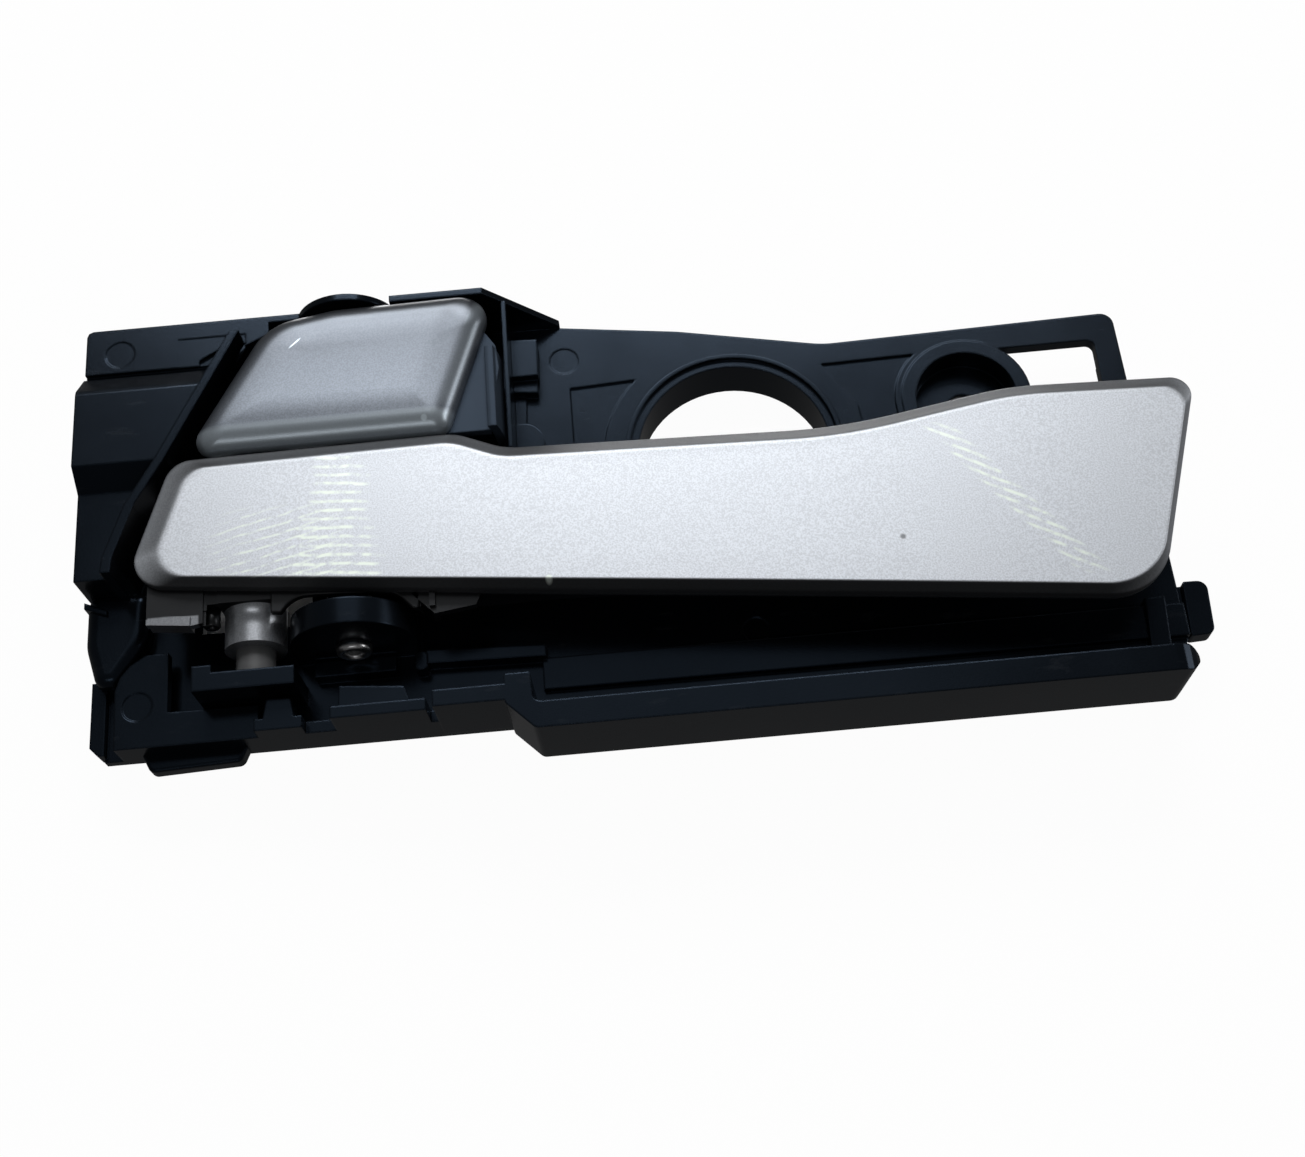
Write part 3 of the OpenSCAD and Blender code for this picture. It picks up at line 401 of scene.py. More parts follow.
def away_from_knuckle(finish):
    """Painted shade: 0 on the round knuckle, less than 1 on the lit strip beside it, and 1 elsewhere."""
    x, y, z = finish.axes()
    from_hinge = ((x - HINGE_X) ** 2.0 + (y - HINGE_Y) ** 2.0) ** 0.5
    knuckle = (KNUCKLE_R + 0.4 - from_hinge).step(0, 0.2)
    strip = (z - STRIP_LOW).step(0, 0.2) * (STRIP_HIGH - z).step(0, 0.3)
    return 1 - (knuckle + 0.6 * strip * (STRIP_RIGHT - x).step(0, 0.3)).clamp()


HANDLE_PAINT = silver_paint("handle_silver", 0.66, 0.42, 0.55, 0.92, handle_reflection_streaks, specks_and_shade=handle_speck_and_shade)
# This copy of the paint is set darker than the face's as painted shade, and away_from_knuckle darkens its
# webs further.
HANDLE_BACK_PAINT = silver_paint(
    "handle_back_silver", 0.46, 0.28, 0.85, specks_and_shade=away_from_knuckle, shaded_share=0.07)
KNOB_PAINT = silver_paint(
    "knob_silver", 0.24, 0.30, 0.7, 0.85, knob_marks_and_highlights, pale=(0.70, 0.80, 0.87, 1), specks_and_shade=knob_painted_shade,
    shaded_share=0.30, blue=0.30)
print("silver paints:", HANDLE_PAINT.name, HANDLE_BACK_PAINT.name, KNOB_PAINT.name)

# %% [markdown]
# Pins are turned steel, clips and springs are drawn and blackened steel, and screws are zinc
# plated. They differ in shade, in roughness and in how strong the fine turning lines are. The
# lines are noise squeezed along Z, because every pin of this handle stands upright.

# %% Steels
def steel(name, shade, rough, lines, blue=0.0):
    """Bare metal of one linear shade. Its noise is finer along Z by the factor lines."""
    finish = Finish(name, metallic=1.0)
    turning = finish.noise(1.5, 2, 0.5, (1, 1, lines))
    stain = finish.noise(0.4, 3).step(0.45, 0.75)
    colour = finish.blend(turning, grey(shade * 0.85, blue), grey(shade * 1.08, blue))
    finish.set("Base Color", finish.blend(stain * 0.35, colour, grey(shade * 0.55, blue)))
    finish.set("Roughness", rough + 0.12 * stain + 0.08 * turning)
    finish.set("Normal", finish.bump(turning, 0.004))
    return finish.material


BRIGHT_STEEL = steel("bright_steel", 0.62, 0.24, 8, 0.02)
SPRING_STEEL = steel("spring_steel", 0.40, 0.34, 3)
ZINC_STEEL = steel("zinc_steel", 0.52, 0.30, 4, 0.05)
print("steels:", BRIGHT_STEEL.name, SPRING_STEEL.name, ZINC_STEEL.name)

# %% [markdown]
# Small plastic parts are bare mouldings, the buffers are rubber with a bloom on it, and the pads
# behind the plate are felt, whose fibres are a fine noise drawn out in two directions. Hair
# could make real fibres, but on pads of a few millimetres only their shade shows.

# %% Bare plastics, rubber and felt
SMALL_EDGE = 0.12


def bare_plastic(name, colour, rough):
    """A plain moulding of one colour, clouded towards a darker shade of it."""
    finish = Finish(name, specular_ior_level=0.4)
    cloud, grain = finish.noise(0.3, 3), finish.noise(4.0, 2)
    dark = tuple(c * 0.82 for c in colour[:3]) + (1.0,)
    finish.set("Base Color", finish.blend(cloud.step(0.35, 0.7), colour, dark))
    finish.set("Roughness", rough + 0.1 * cloud)
    finish.set("Normal", finish.bump(grain, GRAIN_DEPTH, finish.soft_edges(SMALL_EDGE)))
    return finish.material


def fibre_felt(name):
    """Dark felt: fibres along two directions give its shade and its bumps."""
    finish = Finish(name, specular_ior_level=0.1, roughness=1.0)
    fibres = finish.noise(2.5, 4, 0.7, (0.3, 1, 1)) + finish.noise(2.5, 4, 0.7, (1, 1, 0.3))
    finish.set("Base Color", finish.blend((fibres - 0.5).clamp(), grey(0.012), grey(0.05)))
    finish.set("Normal", finish.bump(fibres, 0.12))
    return finish.material


GREY_PLASTIC = bare_plastic("grey_plastic", grey(0.10, 0.06), 0.36)
NATURAL_PLASTIC = bare_plastic("natural_plastic", (0.60, 0.57, 0.47, 1), 0.40)
RUBBER = bare_plastic("black_rubber", grey(0.012), 0.72)
FELT = fibre_felt("felt")
print("soft and plastic finishes:", GREY_PLASTIC.name, NATURAL_PLASTIC.name, RUBBER.name, FELT.name)

# %% [markdown]
# The painted faces are pillows: an outline with rounded corners, carried inwards ring by ring
# while it rises. On the solids these rings are coarse, so here each ring is worked out afresh
# with hundreds of points, as whole arrays. Blender's Inset Faces could carry an outline inwards,
# but it moves the points. Moving the straight sides keeps the corners clean however far in the
# ring lies.

# %% Rounded outlines
ARC, SMALLEST_R = 17, 0.25
print("points on each rounded corner:", ARC)


def outline_at(corners, inset, shrink=1.0, shares=1.0):
    """Closed clockwise outline in X and Z inside a polygon with rounded corners. Side k moves in
    by inset * share k, so a corner moves by the d with n . d = inset * share for the inward
    normals n of both its sides. Its radius shrinks by shrink * inset on an outer corner and grows
    on an inner one, and its arc's angle runs evenly between both sides."""
    c = np.array(corners, float)
    p, r = c[:, :2], c[:, 2]
    step = np.broadcast_to(inset * np.asarray(shares, float), r.shape)
    u = np.roll(p, 1, 0) - p
    v = np.roll(p, -1, 0) - p
    u /= np.linalg.norm(u, axis=1)[:, None]
    v /= np.linalg.norm(v, axis=1)[:, None]
    half = np.arccos(np.sum(u * v, 1)) / 2
    middle = u + v
    middle /= np.linalg.norm(middle, axis=1)[:, None]
    outer = np.where(u[:, 0] * v[:, 1] - u[:, 1] * v[:, 0] > 0, 1.0, -1.0)
    inward = np.stack([np.stack([-u[:, 1], u[:, 0]], -1), np.stack([v[:, 1], -v[:, 0]], -1)], 1)
    p = p + np.linalg.solve(inward, np.stack([np.roll(step, 1), step], -1)[..., None])[..., 0]
    r = np.maximum(r - outer * inset * shrink, SMALLEST_R)
    centre = p + middle * (r / np.sin(half))[:, None]
    reach = (r / np.tan(half))[:, None]
    start, end = p + u * reach - centre, p + v * reach - centre
    first = np.arctan2(start[:, 1], start[:, 0])
    turn = np.arctan2(end[:, 1], end[:, 0]) - first
    turn = (turn + np.pi) % (2 * np.pi) - np.pi
    angle = first[:, None] + turn[:, None] * np.linspace(0, 1, ARC)[None]
    arc = centre[:, None] + r[:, None, None] * np.stack([np.cos(angle), np.sin(angle)], -1)
    return arc.reshape(-1, 2)


# %% [markdown]
# Rings of different insets are joined point to point. So each ring is cut at the same four
# corners and gets the same number of points on each side. They lie closer together towards the
# corners, where the bevel turns.

# %% Rings with matching points
CROWDING = 0.7


def crowded(count):
    """Shares t - c sin(2 pi t) / (2 pi) of a length, with even t: closer together at both ends."""
    t = np.linspace(0, 1, count)
    return t - CROWDING * np.sin(2 * np.pi * t) / (2 * np.pi)


def resampled(path, count):
    """Points on the path at crowded shares of its running length."""
    run = np.concatenate([[0], np.cumsum(np.linalg.norm(np.diff(path, axis=0), axis=1))])
    return np.stack([np.interp(run[-1] * crowded(count), run, path[:, k]) for k in (0, 1)], -1)


def ring_at(corners, patch, inset, counts, shrink=1.0, shares=1.0):
    """The outline at an inset as one ring of points that starts at the upper left. Its top, right,
    bottom and left side meet halfway round the arcs of the four patch corners."""
    loop = outline_at(corners, inset, shrink, shares)
    marks = np.array(patch) * ARC + ARC // 2
    turned = np.roll(loop, -marks[0], axis=0)
    turned = np.vstack([turned, turned[:1]])
    cuts = np.append((marks - marks[0]) % len(loop), len(loop))
    return np.vstack([resampled(turned[a:b + 1], n)[:-1] for a, b, n in zip(cuts, cuts[1:], counts)])


print("crowded shares of a length:", crowded(5).round(2).tolist())

# %% [markdown]
# Arrays become a mesh in one call. A closed shell has to face outwards, or it looks inside out
# once it is exported, so its doubles are merged and its normals are worked out again.

# %% A mesh object from arrays
MERGE = 1e-7


def piece_from(name, points_mm, faces, material, smooth=True):
    """An object at the origin from points in millimetres and faces of point numbers."""
    mesh = bpy.data.meshes.new(name)
    mesh.from_pydata((np.asarray(points_mm) * MM).tolist(), [], [list(map(int, f)) for f in faces])
    mesh.polygons.foreach_set("use_smooth", [smooth] * len(mesh.polygons))
    mesh.materials.append(material)
    mesh.validate()
    made = bpy.data.objects.new(name, mesh)
    bpy.context.scene.collection.objects.link(made)
    return made


def outward(made):
    """Turns every face of a closed shell to point out of it."""
    shell = bmesh.new()
    shell.from_mesh(made.data)
    bmesh.ops.remove_doubles(shell, verts=shell.verts, dist=MERGE)
    bmesh.ops.recalc_face_normals(shell, faces=shell.faces)
    shell.to_mesh(made.data)
    shell.free()
    return made


print("points are merged within mm:", MERGE / MM)

# %% [markdown]
# The middle of a painted face has no rings. A fan of triangles round one point would shine
# unevenly, so it is a four-sided patch: a grid that blends the sides of the innermost ring.

# %% Patch inside a ring
def patch_rows(long, short, first_new):
    """Point numbers of the patch, row by row: its border is ring 0, its inside is new."""
    ring = np.arange(2 * long + 2 * short - 3) % (2 * long + 2 * short - 4)
    rows = np.empty((short, long), int)
    rows[0], rows[:, -1] = ring[:long], ring[long - 1:long + short - 1]
    rows[-1] = ring[long + short - 2:2 * long + short - 2][::-1]
    rows[:, 0] = ring[2 * long + short - 3:][::-1]
    rows[1:-1, 1:-1] = first_new + np.arange((short - 2) * (long - 2)).reshape(short - 2, long - 2)
    return rows


def blended_patch(border, rows):
    """Coons patch P(u, v) = (1 - v) top(u) + v bottom(u) + (1 - u) left(v) + u right(v), less the
    bilinear blend of the four corners."""
    top, bottom = border[rows[0]][None], border[rows[-1]][None]
    left, right = border[rows[:, 0]][:, None], border[rows[:, -1]][:, None]
    u, v = crowded(rows.shape[1])[None, :, None], crowded(rows.shape[0])[:, None, None]
    corners = ((1 - u) * (1 - v) * top[:, :1] + u * (1 - v) * top[:, -1:]
               + (1 - u) * v * bottom[:, :1] + u * v * bottom[:, -1:])
    return ((1 - v) * top + v * bottom + (1 - u) * left + u * right - corners)[1:-1, 1:-1]


def quads(rows):
    """Faces between the neighbouring rows and columns of a grid of point numbers."""
    return np.stack([rows[:-1, :-1], rows[:-1, 1:], rows[1:, 1:], rows[1:, :-1]], -1).reshape(-1, 4)


print("a patch of 4 by 3 points:", patch_rows(4, 3, 10).tolist())

# %% [markdown]
# `pillow` is the shape of both painted covers. Its rings follow a profile of inset and depth, and
# the patch fills the middle. The cover is a shell: the same rings come back a little further in,
# and both rims are joined. A Bevel modifier could round a plain block, but its width is the same
# on every side.

# %% Pillow covers
def pillow(name, corners, patch, profile, crown, skin, material, long=230, short=70, shrink=1.0,
           shares=1.0):
    """Cover over an outline. Ring k is the outline moved inwards by the profile's inset at k, at
    the profile's depth at k, plus crown times the square of how far a point lies from the middle
    of the length. shares multiplies the inset of each side."""
    inset, depth, bow = np.array(profile, float).T
    xs = np.array(corners)[:, 0]
    mid, half = (xs.min() + xs.max()) / 2, (xs.max() - xs.min()) / 2
    counts = (long, short, long, short)
    outermost = ring_at(corners, patch, 0.0, counts)
    m, last = len(outermost), len(inset) - 1
    rows = patch_rows(long, short, len(inset) * m)
    belts = np.arange(len(inset) * m).reshape(-1, m)
    belts = np.hstack([belts, belts[:, :1]])
    faces = np.vstack([quads(belts), quads(rows)])

    def layer(offset, lift):
        flat = np.stack([ring_at(corners, patch, d, counts, shrink, shares) for d in inset])
        flat = flat + (ring_at(corners, patch, offset, counts) - outermost)[None]
        rise = lift + depth[:, None] + bow[:, None] * crown * ((flat[..., 0] - mid) / half) ** 2
        rise[-1] = depth[-1]
        rings = np.stack([flat[..., 0], rise, flat[..., 1]], -1)
        return np.vstack([rings.reshape(-1, 3), blended_patch(rings[0], rows).reshape(-1, 3)])

    outer, inner = layer(0.0, 0.0), layer(skin, skin)
    rims = np.stack([belts[last], belts[last] + len(outer)])
    everything = np.vstack([faces, faces + len(outer), quads(rims)])
    return outward(piece_from(name, np.vstack([outer, inner]), everything, material))


# %% [markdown]
# The silver paint gets painted shade on slopes, more on some sides than on others. A material could work
# that out from its normal, but a mesh knows its normals at once for all points. So the painted shade is one
# formula over arrays, kept as an attribute of the points.

# %% Painted shade on slopes, kept for the paint
SLOPE_RISE = 0.6


def store_slope_shade(cover, up, down, left):
    """Keeps up * max(n_z, 0) ** SLOPE_RISE + down * max(-n_z, 0) + left * max(-n_x, 0) of the point normals
    n, which is how much painted shade each side's slope gets."""
    mesh = cover.data
    normals = np.empty(3 * len(mesh.vertices))
    mesh.vertices.foreach_get("normal", normals)
    n = normals.reshape(-1, 3)
    darker = up * np.maximum(n[:, 2], 0) ** SLOPE_RISE + down * np.maximum(-n[:, 2], 0)
    darker += left * np.maximum(-n[:, 0], 0)
    stored = mesh.attributes.new("slope", "FLOAT", "POINT").data
    stored.foreach_set("value", np.clip(darker, 0, 1))


# %% [markdown]
# The pull handle's cover has a flat, slightly bowed face and a narrow bevel all the way round.
# In the photograph the face is nearly white and the bevel is a darker grey band, so the bevel is a real
# slope, and its grey is deepened by painted shade. It is widest at the left end and narrow at the free end
# and under the bottom, so each side of the outline has its own share of the inset.

# %% Handle cover
HANDLE_CORNERS = [
    (-148.3, -7.1, 5), (-96.5, -6.7, 10), (-87.5, -10.6, 12), (-27, -12.6, 100), (4.5, -7.2, 60),
    (38.4, -8.3, 3.5), (24.5, -50.5, 11), (-156.3, -31.2, 5.5)]
BEVEL_SHARES = (1, 1, 1, 1, 1, 0.4, 0.35, 1.4)
FACE_Y, PADDLE_BACK, SKIN, BOW = -27.0, -22.0, 0.5, 0.8
HANDLE_PROFILE = [(inset, FACE_Y + rise, bow) for inset, rise, bow in (
    (3.7, 0, 1), (3.3, 0.01, 1), (3.0, 0.07, 1), (2.75, 0.22, 1), (2.3, 0.58, 1), (1.7, 1.06, 1),
    (1.1, 1.54, 0.9), (0.6, 1.93, 0.8), (0.25, 2.20, 0.7), (0.02, 2.45, 0.6), (-0.03, 2.75, 0.5),
    (-0.02, 3.6, 0.3))]
HANDLE_PROFILE += [(0.15, PADDLE_BACK - 0.03, 0)]
handle_cover = pillow(
    "handle_cover", HANDLE_CORNERS, (0, 5, 6, 7), HANDLE_PROFILE, BOW, SKIN, HANDLE_PAINT,
    shrink=0.0, shares=BEVEL_SHARES)
store_slope_shade(handle_cover, 1.3, 1.1, 0.40)
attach(handle_cover, "handle")
print("handle cover faces:", len(handle_cover.data.polygons))

# %% [markdown]
# The lock knob is rounder. Its edge is a quarter of an ellipse, so light rolls off it. The same
# function makes it, with a corner radius that shrinks more slowly than the inset grows.

# %% Knob cover
HOOD_LOW = 23.5
KNOB_CORNERS = [
    (-131.2, 20.4, 11), (-118.5, HOOD_LOW - 0.9, 16), (-87.6, HOOD_LOW - 0.3, 5),
    (KNOB_RIGHT, KNOB_BASE, 3.2), (-146.4, KNOB_BASE, 3)]
KNOB_Y, KNOB_BACK, EDGE_W, EDGE_DEPTH = -26.4, -21.4, 4.4, 3.6
KNOB_PROFILE = [(9.0, KNOB_Y, 0), (7.4, KNOB_Y + 0.02, 0), (6.2, KNOB_Y + 0.06, 0),
                (5.2, KNOB_Y + 0.12, 0)]
KNOB_PROFILE += [
    (EDGE_W * (1 - math.sin(a)), KNOB_Y + 0.18 + EDGE_DEPTH * (1 - math.cos(a)), 0)
    for a in np.linspace(0, np.pi / 2, 11)]
KNOB_PROFILE += [(0.05, KNOB_BACK - 0.6, 0), (0.3, KNOB_BACK - 0.03, 0)]
knob_cover = pillow(
    "knob_cover", KNOB_CORNERS, (0, 2, 3, 4), KNOB_PROFILE, 0.0, SKIN, KNOB_PAINT, 150, 90,
    shrink=0.45)
store_slope_shade(knob_cover, 1.0, 0.30, 0.3)
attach(knob_cover, "lock")
print("knob cover faces:", len(knob_cover.data.polygons))

# %% [markdown]
# The lock's pin is a tube that was spun over at its lower end into a domed ring, which shines
# below the handle. A Screw modifier could turn it. Here a closed profile is turned as one array,
# because its ends then meet without a seam.

# %% Turned pin
LOCK_AXIS = (-117.0, -15.8)


def turned(name, axis, profile, material, sides=96):
    """A ring of revolution about an upright axis: profile point k and angle i give the point
    (x0 + r_k cos a_i, y0 + r_k sin a_i, z_k) with a_i = 2 pi i / sides."""
    r, z = np.array(profile, float).T
    a = 2 * np.pi * np.arange(sides) / sides
    points = np.stack([axis[0] + r[:, None] * np.cos(a), axis[1] + r[:, None] * np.sin(a),
                       z[:, None] + 0 * a], -1).reshape(-1, 3)
    belts = np.arange(len(r) * sides).reshape(len(r), sides)
    belts = np.vstack([belts, belts[:1]])
    return outward(piece_from(name, points, quads(np.hstack([belts, belts[:, :1]])), material))


PIN_R, PIN_BORE, PIN_HEAD_R, HEAD_LOW, HEAD_HIGH, PIN_TOP = 2.5, 1.5, 3.2, -44.8, -43.0, 26.4
dome = np.linspace(0, np.pi / 2, 7)
pin_profile = [(PIN_BORE, HEAD_LOW + 0.7), (PIN_BORE + 0.12, HEAD_LOW + 0.28)]
pin_profile += [(2.35 - 0.45 * math.cos(a), HEAD_LOW + 0.12 * (1 - math.sin(a))) for a in dome]
pin_profile += [(2.40 + 0.8 * math.sin(a), HEAD_LOW + 0.02 + 0.9 * (1 - math.cos(a))) for a in dome]
pin_profile += [(PIN_HEAD_R, HEAD_HIGH), (PIN_R, HEAD_HIGH + 0.002), (PIN_R, PIN_TOP - 0.4),
                (PIN_R - 0.3, PIN_TOP), (PIN_BORE + 0.2, PIN_TOP), (PIN_BORE, PIN_TOP - 0.3)]
lock_pin = turned("lock_pin_tube", LOCK_AXIS, pin_profile, BRIGHT_STEEL)
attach(lock_pin, "housing")
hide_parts("lock_pivot_pin")
print("pin profile points:", len(pin_profile))

# %% [markdown]
# Behind each cover lies the carrier with its web, ribs and pivot eyes. It could be left whole,
# but its coarse face would show through the fine one. So it is a copy of the CAD solid, cut off
# by an upright plane inside the cover's wall.

# %% Carriers
SAME_POINT = 2e-6
HANDLE_CUT_Y, KNOB_CUT_Y = -24.06, -23.6


def carrier(name, source, cut_y, material, body):
    """A merged copy of a CAD node without what lies in front of the plane y = cut_y."""
    made = bpy.data.objects.new(name, nodes[source].data.copy())
    bpy.context.scene.collection.objects.link(made)
    solid = bmesh.new()
    solid.from_mesh(made.data)
    bmesh.ops.remove_doubles(solid, verts=solid.verts, dist=SAME_POINT)
    whole = solid.verts[:] + solid.edges[:] + solid.faces[:]
    cut = bmesh.ops.bisect_plane(
        solid, geom=whole, plane_co=(0, cut_y * MM, 0), plane_no=(0, -1, 0), clear_outer=True)
    rim = [e for e in cut["geom_cut"] if isinstance(e, bmesh.types.BMEdge)]
    bmesh.ops.holes_fill(solid, edges=rim, sides=0)
    solid.to_mesh(made.data)
    solid.free()
    made.data.materials.clear()
    made.data.materials.append(material)
    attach(made, body)
    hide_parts(source)
    return made


handle_carrier = carrier(
    "handle_carrier", "release_handle", HANDLE_CUT_Y, HANDLE_BACK_PAINT, "handle")
knob_carrier = carrier("knob_carrier", "lock_knob", KNOB_CUT_Y, SKIRT_PLASTIC, "lock")
print("carrier faces:", len(handle_carrier.data.polygons), len(knob_carrier.data.polygons))

# %% [markdown]
# The knuckle stands free of its arm below the ledge, so a ring is cut from the copy round it.
# The web over the lock's boss is arched, and a small stub stands beside the knuckle. Plates with
# rounded corners are rings of the same outline as the covers, so no Bevel modifier is needed.

# %% Knuckle, web and stub
LEDGE_Z, GROOVE_LOW, GROOVE_R, KNUCKLE_GAP = -35.3, -43.5, 9.7, 0.01
WEB_FRONT, WEB_BACK, WEB_R, STUB_AT = -22.6, -21.2, 0.4, (-141.6, -19.2)


def cut_away(made, tool):
    """Subtracts one closed mesh from another and removes it."""
    step = made.modifiers.new("cut", "BOOLEAN")
    step.operation, step.solver, step.object = "DIFFERENCE", "EXACT", tool
    graph = bpy.context.evaluated_depsgraph_get()
    result = bpy.data.meshes.new_from_object(made.evaluated_get(graph))
    made.modifiers.clear()
    made.data = result
    bpy.data.objects.remove(tool)


cut_away(handle_carrier, turned("knuckle_cutter", (HINGE_X, HINGE_Y), [
    (KNUCKLE_R + KNUCKLE_GAP, GROOVE_LOW), (GROOVE_R, GROOVE_LOW), (GROOVE_R, LEDGE_Z),
    (KNUCKLE_R + KNUCKLE_GAP, LEDGE_Z)], HANDLE_BACK_PAINT))


def panel(name, corners, front, back, soft, material):
    """A plate with rounded edges: six rings of one outline, closed by a flat face at each end."""
    steps = [(soft, front), (0.3 * soft, front + 0.3 * soft), (0.0, front + soft),
             (0.0, back - soft), (0.3 * soft, back - 0.3 * soft), (soft, back)]
    flat = [outline_at(corners, inset) for inset, _ in steps]
    points = np.vstack([np.insert(f, 1, y, axis=1) for f, (_, y) in zip(flat, steps)])
    m = len(flat[0])
    belts = np.arange(len(steps) * m).reshape(-1, m)
    faces = quads(np.hstack([belts, belts[:, :1]])).tolist() + [belts[0].tolist(), belts[-1].tolist()]
    return outward(piece_from(name, points, faces, material, smooth=False))


arch_web = panel("arch_web", [
    (-130.5, -30.4, WEB_R), (-103.6, -31.4, WEB_R), (-104.2, -39.6, WEB_R),
    (-105.4, -39.6, WEB_R), (-108.4, -36.1, 5.0), (-126.3, -35.2, 5.0), (-128.6, -38.2, WEB_R),
    (-130.5, -38.0, WEB_R)], WEB_FRONT, WEB_BACK, 0.3, HANDLE_BACK_PAINT)
stub = turned("knuckle_stub", STUB_AT, [
    (0.5, -38.5), (1.2, -38.7), (1.5, -38.4), (1.5, LEDGE_Z + 0.6), (0.5, LEDGE_Z + 0.6)],
    HANDLE_BACK_PAINT, 40)
for made in (arch_web, stub):
    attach(made, "handle")
print("carrier faces with the groove:", len(handle_carrier.data.polygons))

# %% [markdown]
# Two small forms of the moulding are rounder than its solid: the swelling in front of the cable
# socket, and the foot under the lower left corner. A pillow and a panel give both, laid over the
# solid, whose own mesh is never changed.

# %% Swelling and foot
SWELL_LEFT, SWELL_RIGHT, SWELL_TOP, SWELL_LOW = -166.38, -154.5, -27.2, -45.4
SWELL_EDGE, SWELL_FRONT, SWELL_RISE, SWELL_BACK = 2.35, -13.62, 2.3, -9.2
SWELL_CORNERS = [
    (SWELL_LEFT, SWELL_TOP, 2.4), (SWELL_RIGHT, SWELL_TOP, 2.4), (-155.1, -37.4, 9),
    (-160.3, SWELL_LOW, 2.6), (-164.2, SWELL_LOW, 2.6), (SWELL_LEFT, -37.4, 9)]
SWELL_PROFILE = [
    (SWELL_EDGE * (1 - math.sin(a)), SWELL_FRONT + SWELL_RISE * (1 - math.cos(a)), 0)
    for a in np.linspace(0, np.pi / 2, 8)]
SWELL_PROFILE += [(0.0, SWELL_BACK, 0)]
FOOT_FRONT, FOOT_BACK = -9.4, -6.0
swelling = pillow(
    "cable_swelling", SWELL_CORNERS, (0, 1, 3, 4), SWELL_PROFILE, 0.0, 0.4, MOULDING, 40, 60)
foot = panel("corner_foot", [
    (-156.6, -57.2, 0.5), (-137.2, -57.2, 0.5), (-138.6, -60.4, 1.4), (-154.8, -61.0, 1.4)],
    FOOT_FRONT, FOOT_BACK, 0.5, MOULDING)
for made in (swelling, foot):
    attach(made, "housing")
print("swelling and foot faces:", len(swelling.data.polygons), len(foot.data.polygons))

# %% [markdown]
# The other solids have the right shape already. Each keeps its mesh and takes its finish. A
# table of names and finishes is easier to check than a call for each piece.

# %% Finishes of the carried-over solids
FINISH_OF = {
    "base_housing": MOULDING, "handle_hinge_pin": BRIGHT_STEEL, "hinge_pin_clip": SPRING_STEEL,
    "lower_hinge_bush": GREY_PLASTIC, "upper_hinge_bush": GREY_PLASTIC,
    "handle_return_spring": SPRING_STEEL, "handle_rest_buffer": RUBBER,
    "pull_stop_buffer": RUBBER, "release_cable_clip": NATURAL_PLASTIC,
    "lock_lever": LEVER_PLASTIC, "lock_pin_clip": SPRING_STEEL,
    "lock_over_centre_spring": SPRING_STEEL, "lock_cable_clip": NATURAL_PLASTIC,
    "lock_lever_screws": ZINC_STEEL, "release_sheath_clip": NATURAL_PLASTIC,
    "lock_sheath_clip": NATURAL_PLASTIC, "fixing_sleeve": ZINC_STEEL, "rear_felt_pads": FELT}
for node_name, finish in FINISH_OF.items():
    nodes[node_name].data.materials.clear()
    nodes[node_name].data.materials.append(finish)
print("solids with a finish:", len(FINISH_OF))

# %% [markdown]
# The part lies on its back on a white table, and the camera looks down at it. The table glows white to the
# camera, keeps a faint shadow, and is open from behind so that the back can be looked at. A plain white
# world would do for the background, but it would hold no shadow. The table doesn't glow in two spots behind
# the fixing cup and the hinge, which are painted shadow where the photograph shows no light.

# %% Table
TABLE_HALF, TABLE_GAP, TABLE_GLOW = 3000, 0.3, 0.97
PAPER_WHITE = (0.9, 0.9, 0.9, 1)
CUP_SHADOW_SPOT, WINDOW_SHADOW_SPOT, SOFT_RIM = (0, 0, 7), (-128, -27, 24), 2


def table_white():
    """White seen by the camera from the front, and nothing to any other ray."""
    made = bpy.data.materials.new("table_white")
    made.use_nodes = True
    made.node_tree.nodes.remove(made.node_tree.nodes["Principled BSDF"])
    tree = NodeTree(made.node_tree)
    # Painted shadow: the glow is left out in two spots behind the fixing cup and the hinge.
    outside_shadow_spots = (1 - tree.spot(*CUP_SHADOW_SPOT, SOFT_RIM)) * (1 - tree.spot(*WINDOW_SHADOW_SPOT, SOFT_RIM))
    white = tree.node("ShaderNodeMixShader", inputs={
        0: outside_shadow_spots * TABLE_GLOW,
        1: tree.node("ShaderNodeBsdfDiffuse", inputs={"Color": PAPER_WHITE}),
        2: tree.node("ShaderNodeEmission", inputs={"Strength": 1.0})})
    from_front = 1 - tree.node("ShaderNodeNewGeometry", output="Backfacing")
    shown = tree.node("ShaderNodeMixShader", inputs={
        0: from_front * tree.node("ShaderNodeLightPath", output="Is Camera Ray"),
        1: tree.node("ShaderNodeBsdfTransparent"), 2: white})
    tree.join(made.node_tree.nodes["Material Output"].inputs["Surface"], shown)
    return made


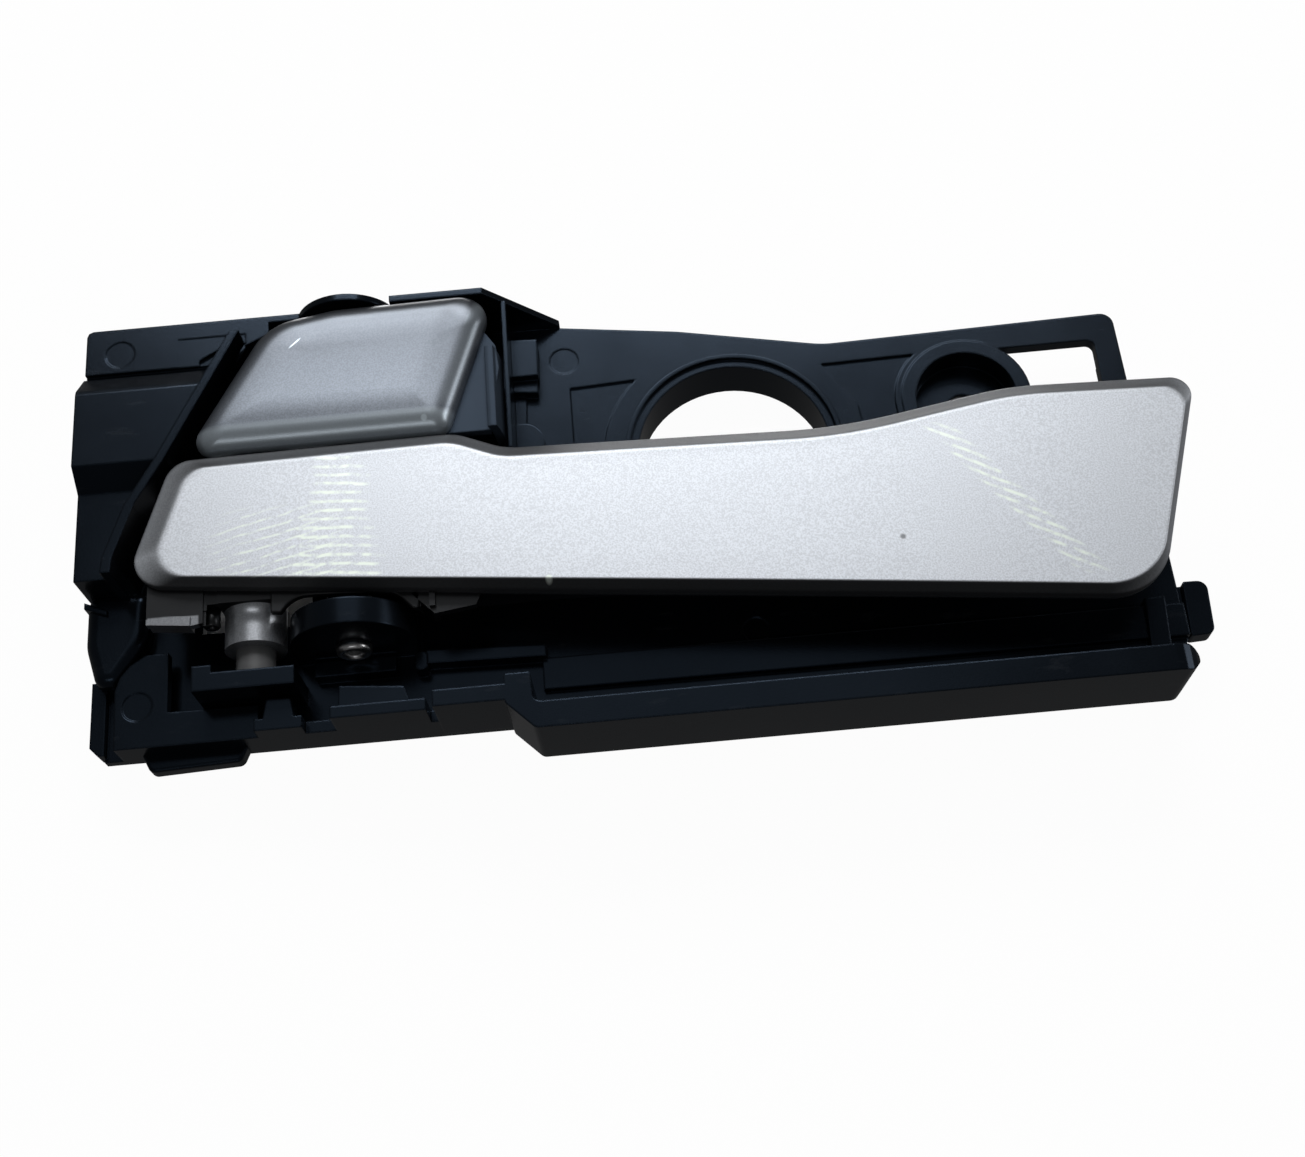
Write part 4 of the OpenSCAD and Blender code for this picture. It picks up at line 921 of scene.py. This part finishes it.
table_y = cad_box[1][1] / MM + TABLE_GAP
table_corners = [(x * TABLE_HALF, table_y, z * TABLE_HALF) for x, z in ((-1, -1), (1, -1), (1, 1), (-1, 1))]
table = piece_from("table", table_corners, [(0, 1, 2, 3)], table_white(), smooth=False)
print("table stands at y in mm:", round(table_y, 2))

# %% [markdown]
# The key lamp is high, so the flat black faces don't mirror it and only their edges shine. Weak
# lamps stand in front, to the right and below, and one lights the back through the table, which
# only the camera sees. The world is white to the camera and dimmer for everything else. A light
# picture of a room could be used, but plain rectangles keep the object at an even level.

# %% Lamps and world
MIDDLE = (-60, -15, -15)
ROOM_LIGHT = 0.09


def soft_lamp(name, place_mm, aim_mm, size_mm, power):
    """A rectangle of light at a place, whose own Z axis points away from what it lights."""
    data = bpy.data.lights.new(name, "AREA")
    data.shape, data.energy = "RECTANGLE", power
    data.size, data.size_y = size_mm[0] * MM, size_mm[1] * MM
    lamp = bpy.data.objects.new(name, data)
    bpy.context.scene.collection.objects.link(lamp)
    at, aim = np.array(place_mm) * MM, np.array(aim_mm) * MM
    back = (at - aim) / np.linalg.norm(at - aim)
    right = np.cross([0, 0, 1], back)
    right /= np.linalg.norm(right)
    lamp.matrix_world = placed(right, np.cross(back, right), back, at)


soft_lamp("key", (-60, -700, 760), MIDDLE, (700, 420), 8.6)
soft_lamp("front", (-120, -850, 470), MIDDLE, (620, 620), 0.5)
soft_lamp("side", (750, -350, 80), (-20, -15, -30), (260, 420), 1.0)
soft_lamp("low", (-160, -700, -560), MIDDLE, (500, 160), 0.45)
soft_lamp("back", (-60, 450, 900), (-60, 0, -15), (600, 400), 4.0)

world = bpy.data.worlds.new("world")
world.use_nodes = True
bpy.context.scene.world = world
sky = NodeTree(world.node_tree)
background = world.node_tree.nodes["Background"]
background.inputs["Color"].default_value = (1, 1, 1, 1)
to_camera = sky.node("ShaderNodeLightPath", output="Is Camera Ray")
sky.join(background.inputs["Strength"], ROOM_LIGHT + (1 - ROOM_LIGHT) * to_camera)
bpy.context.scene.view_settings.view_transform = "Standard"
print("lamps:", sorted(lamp.name for lamp in bpy.data.lights))
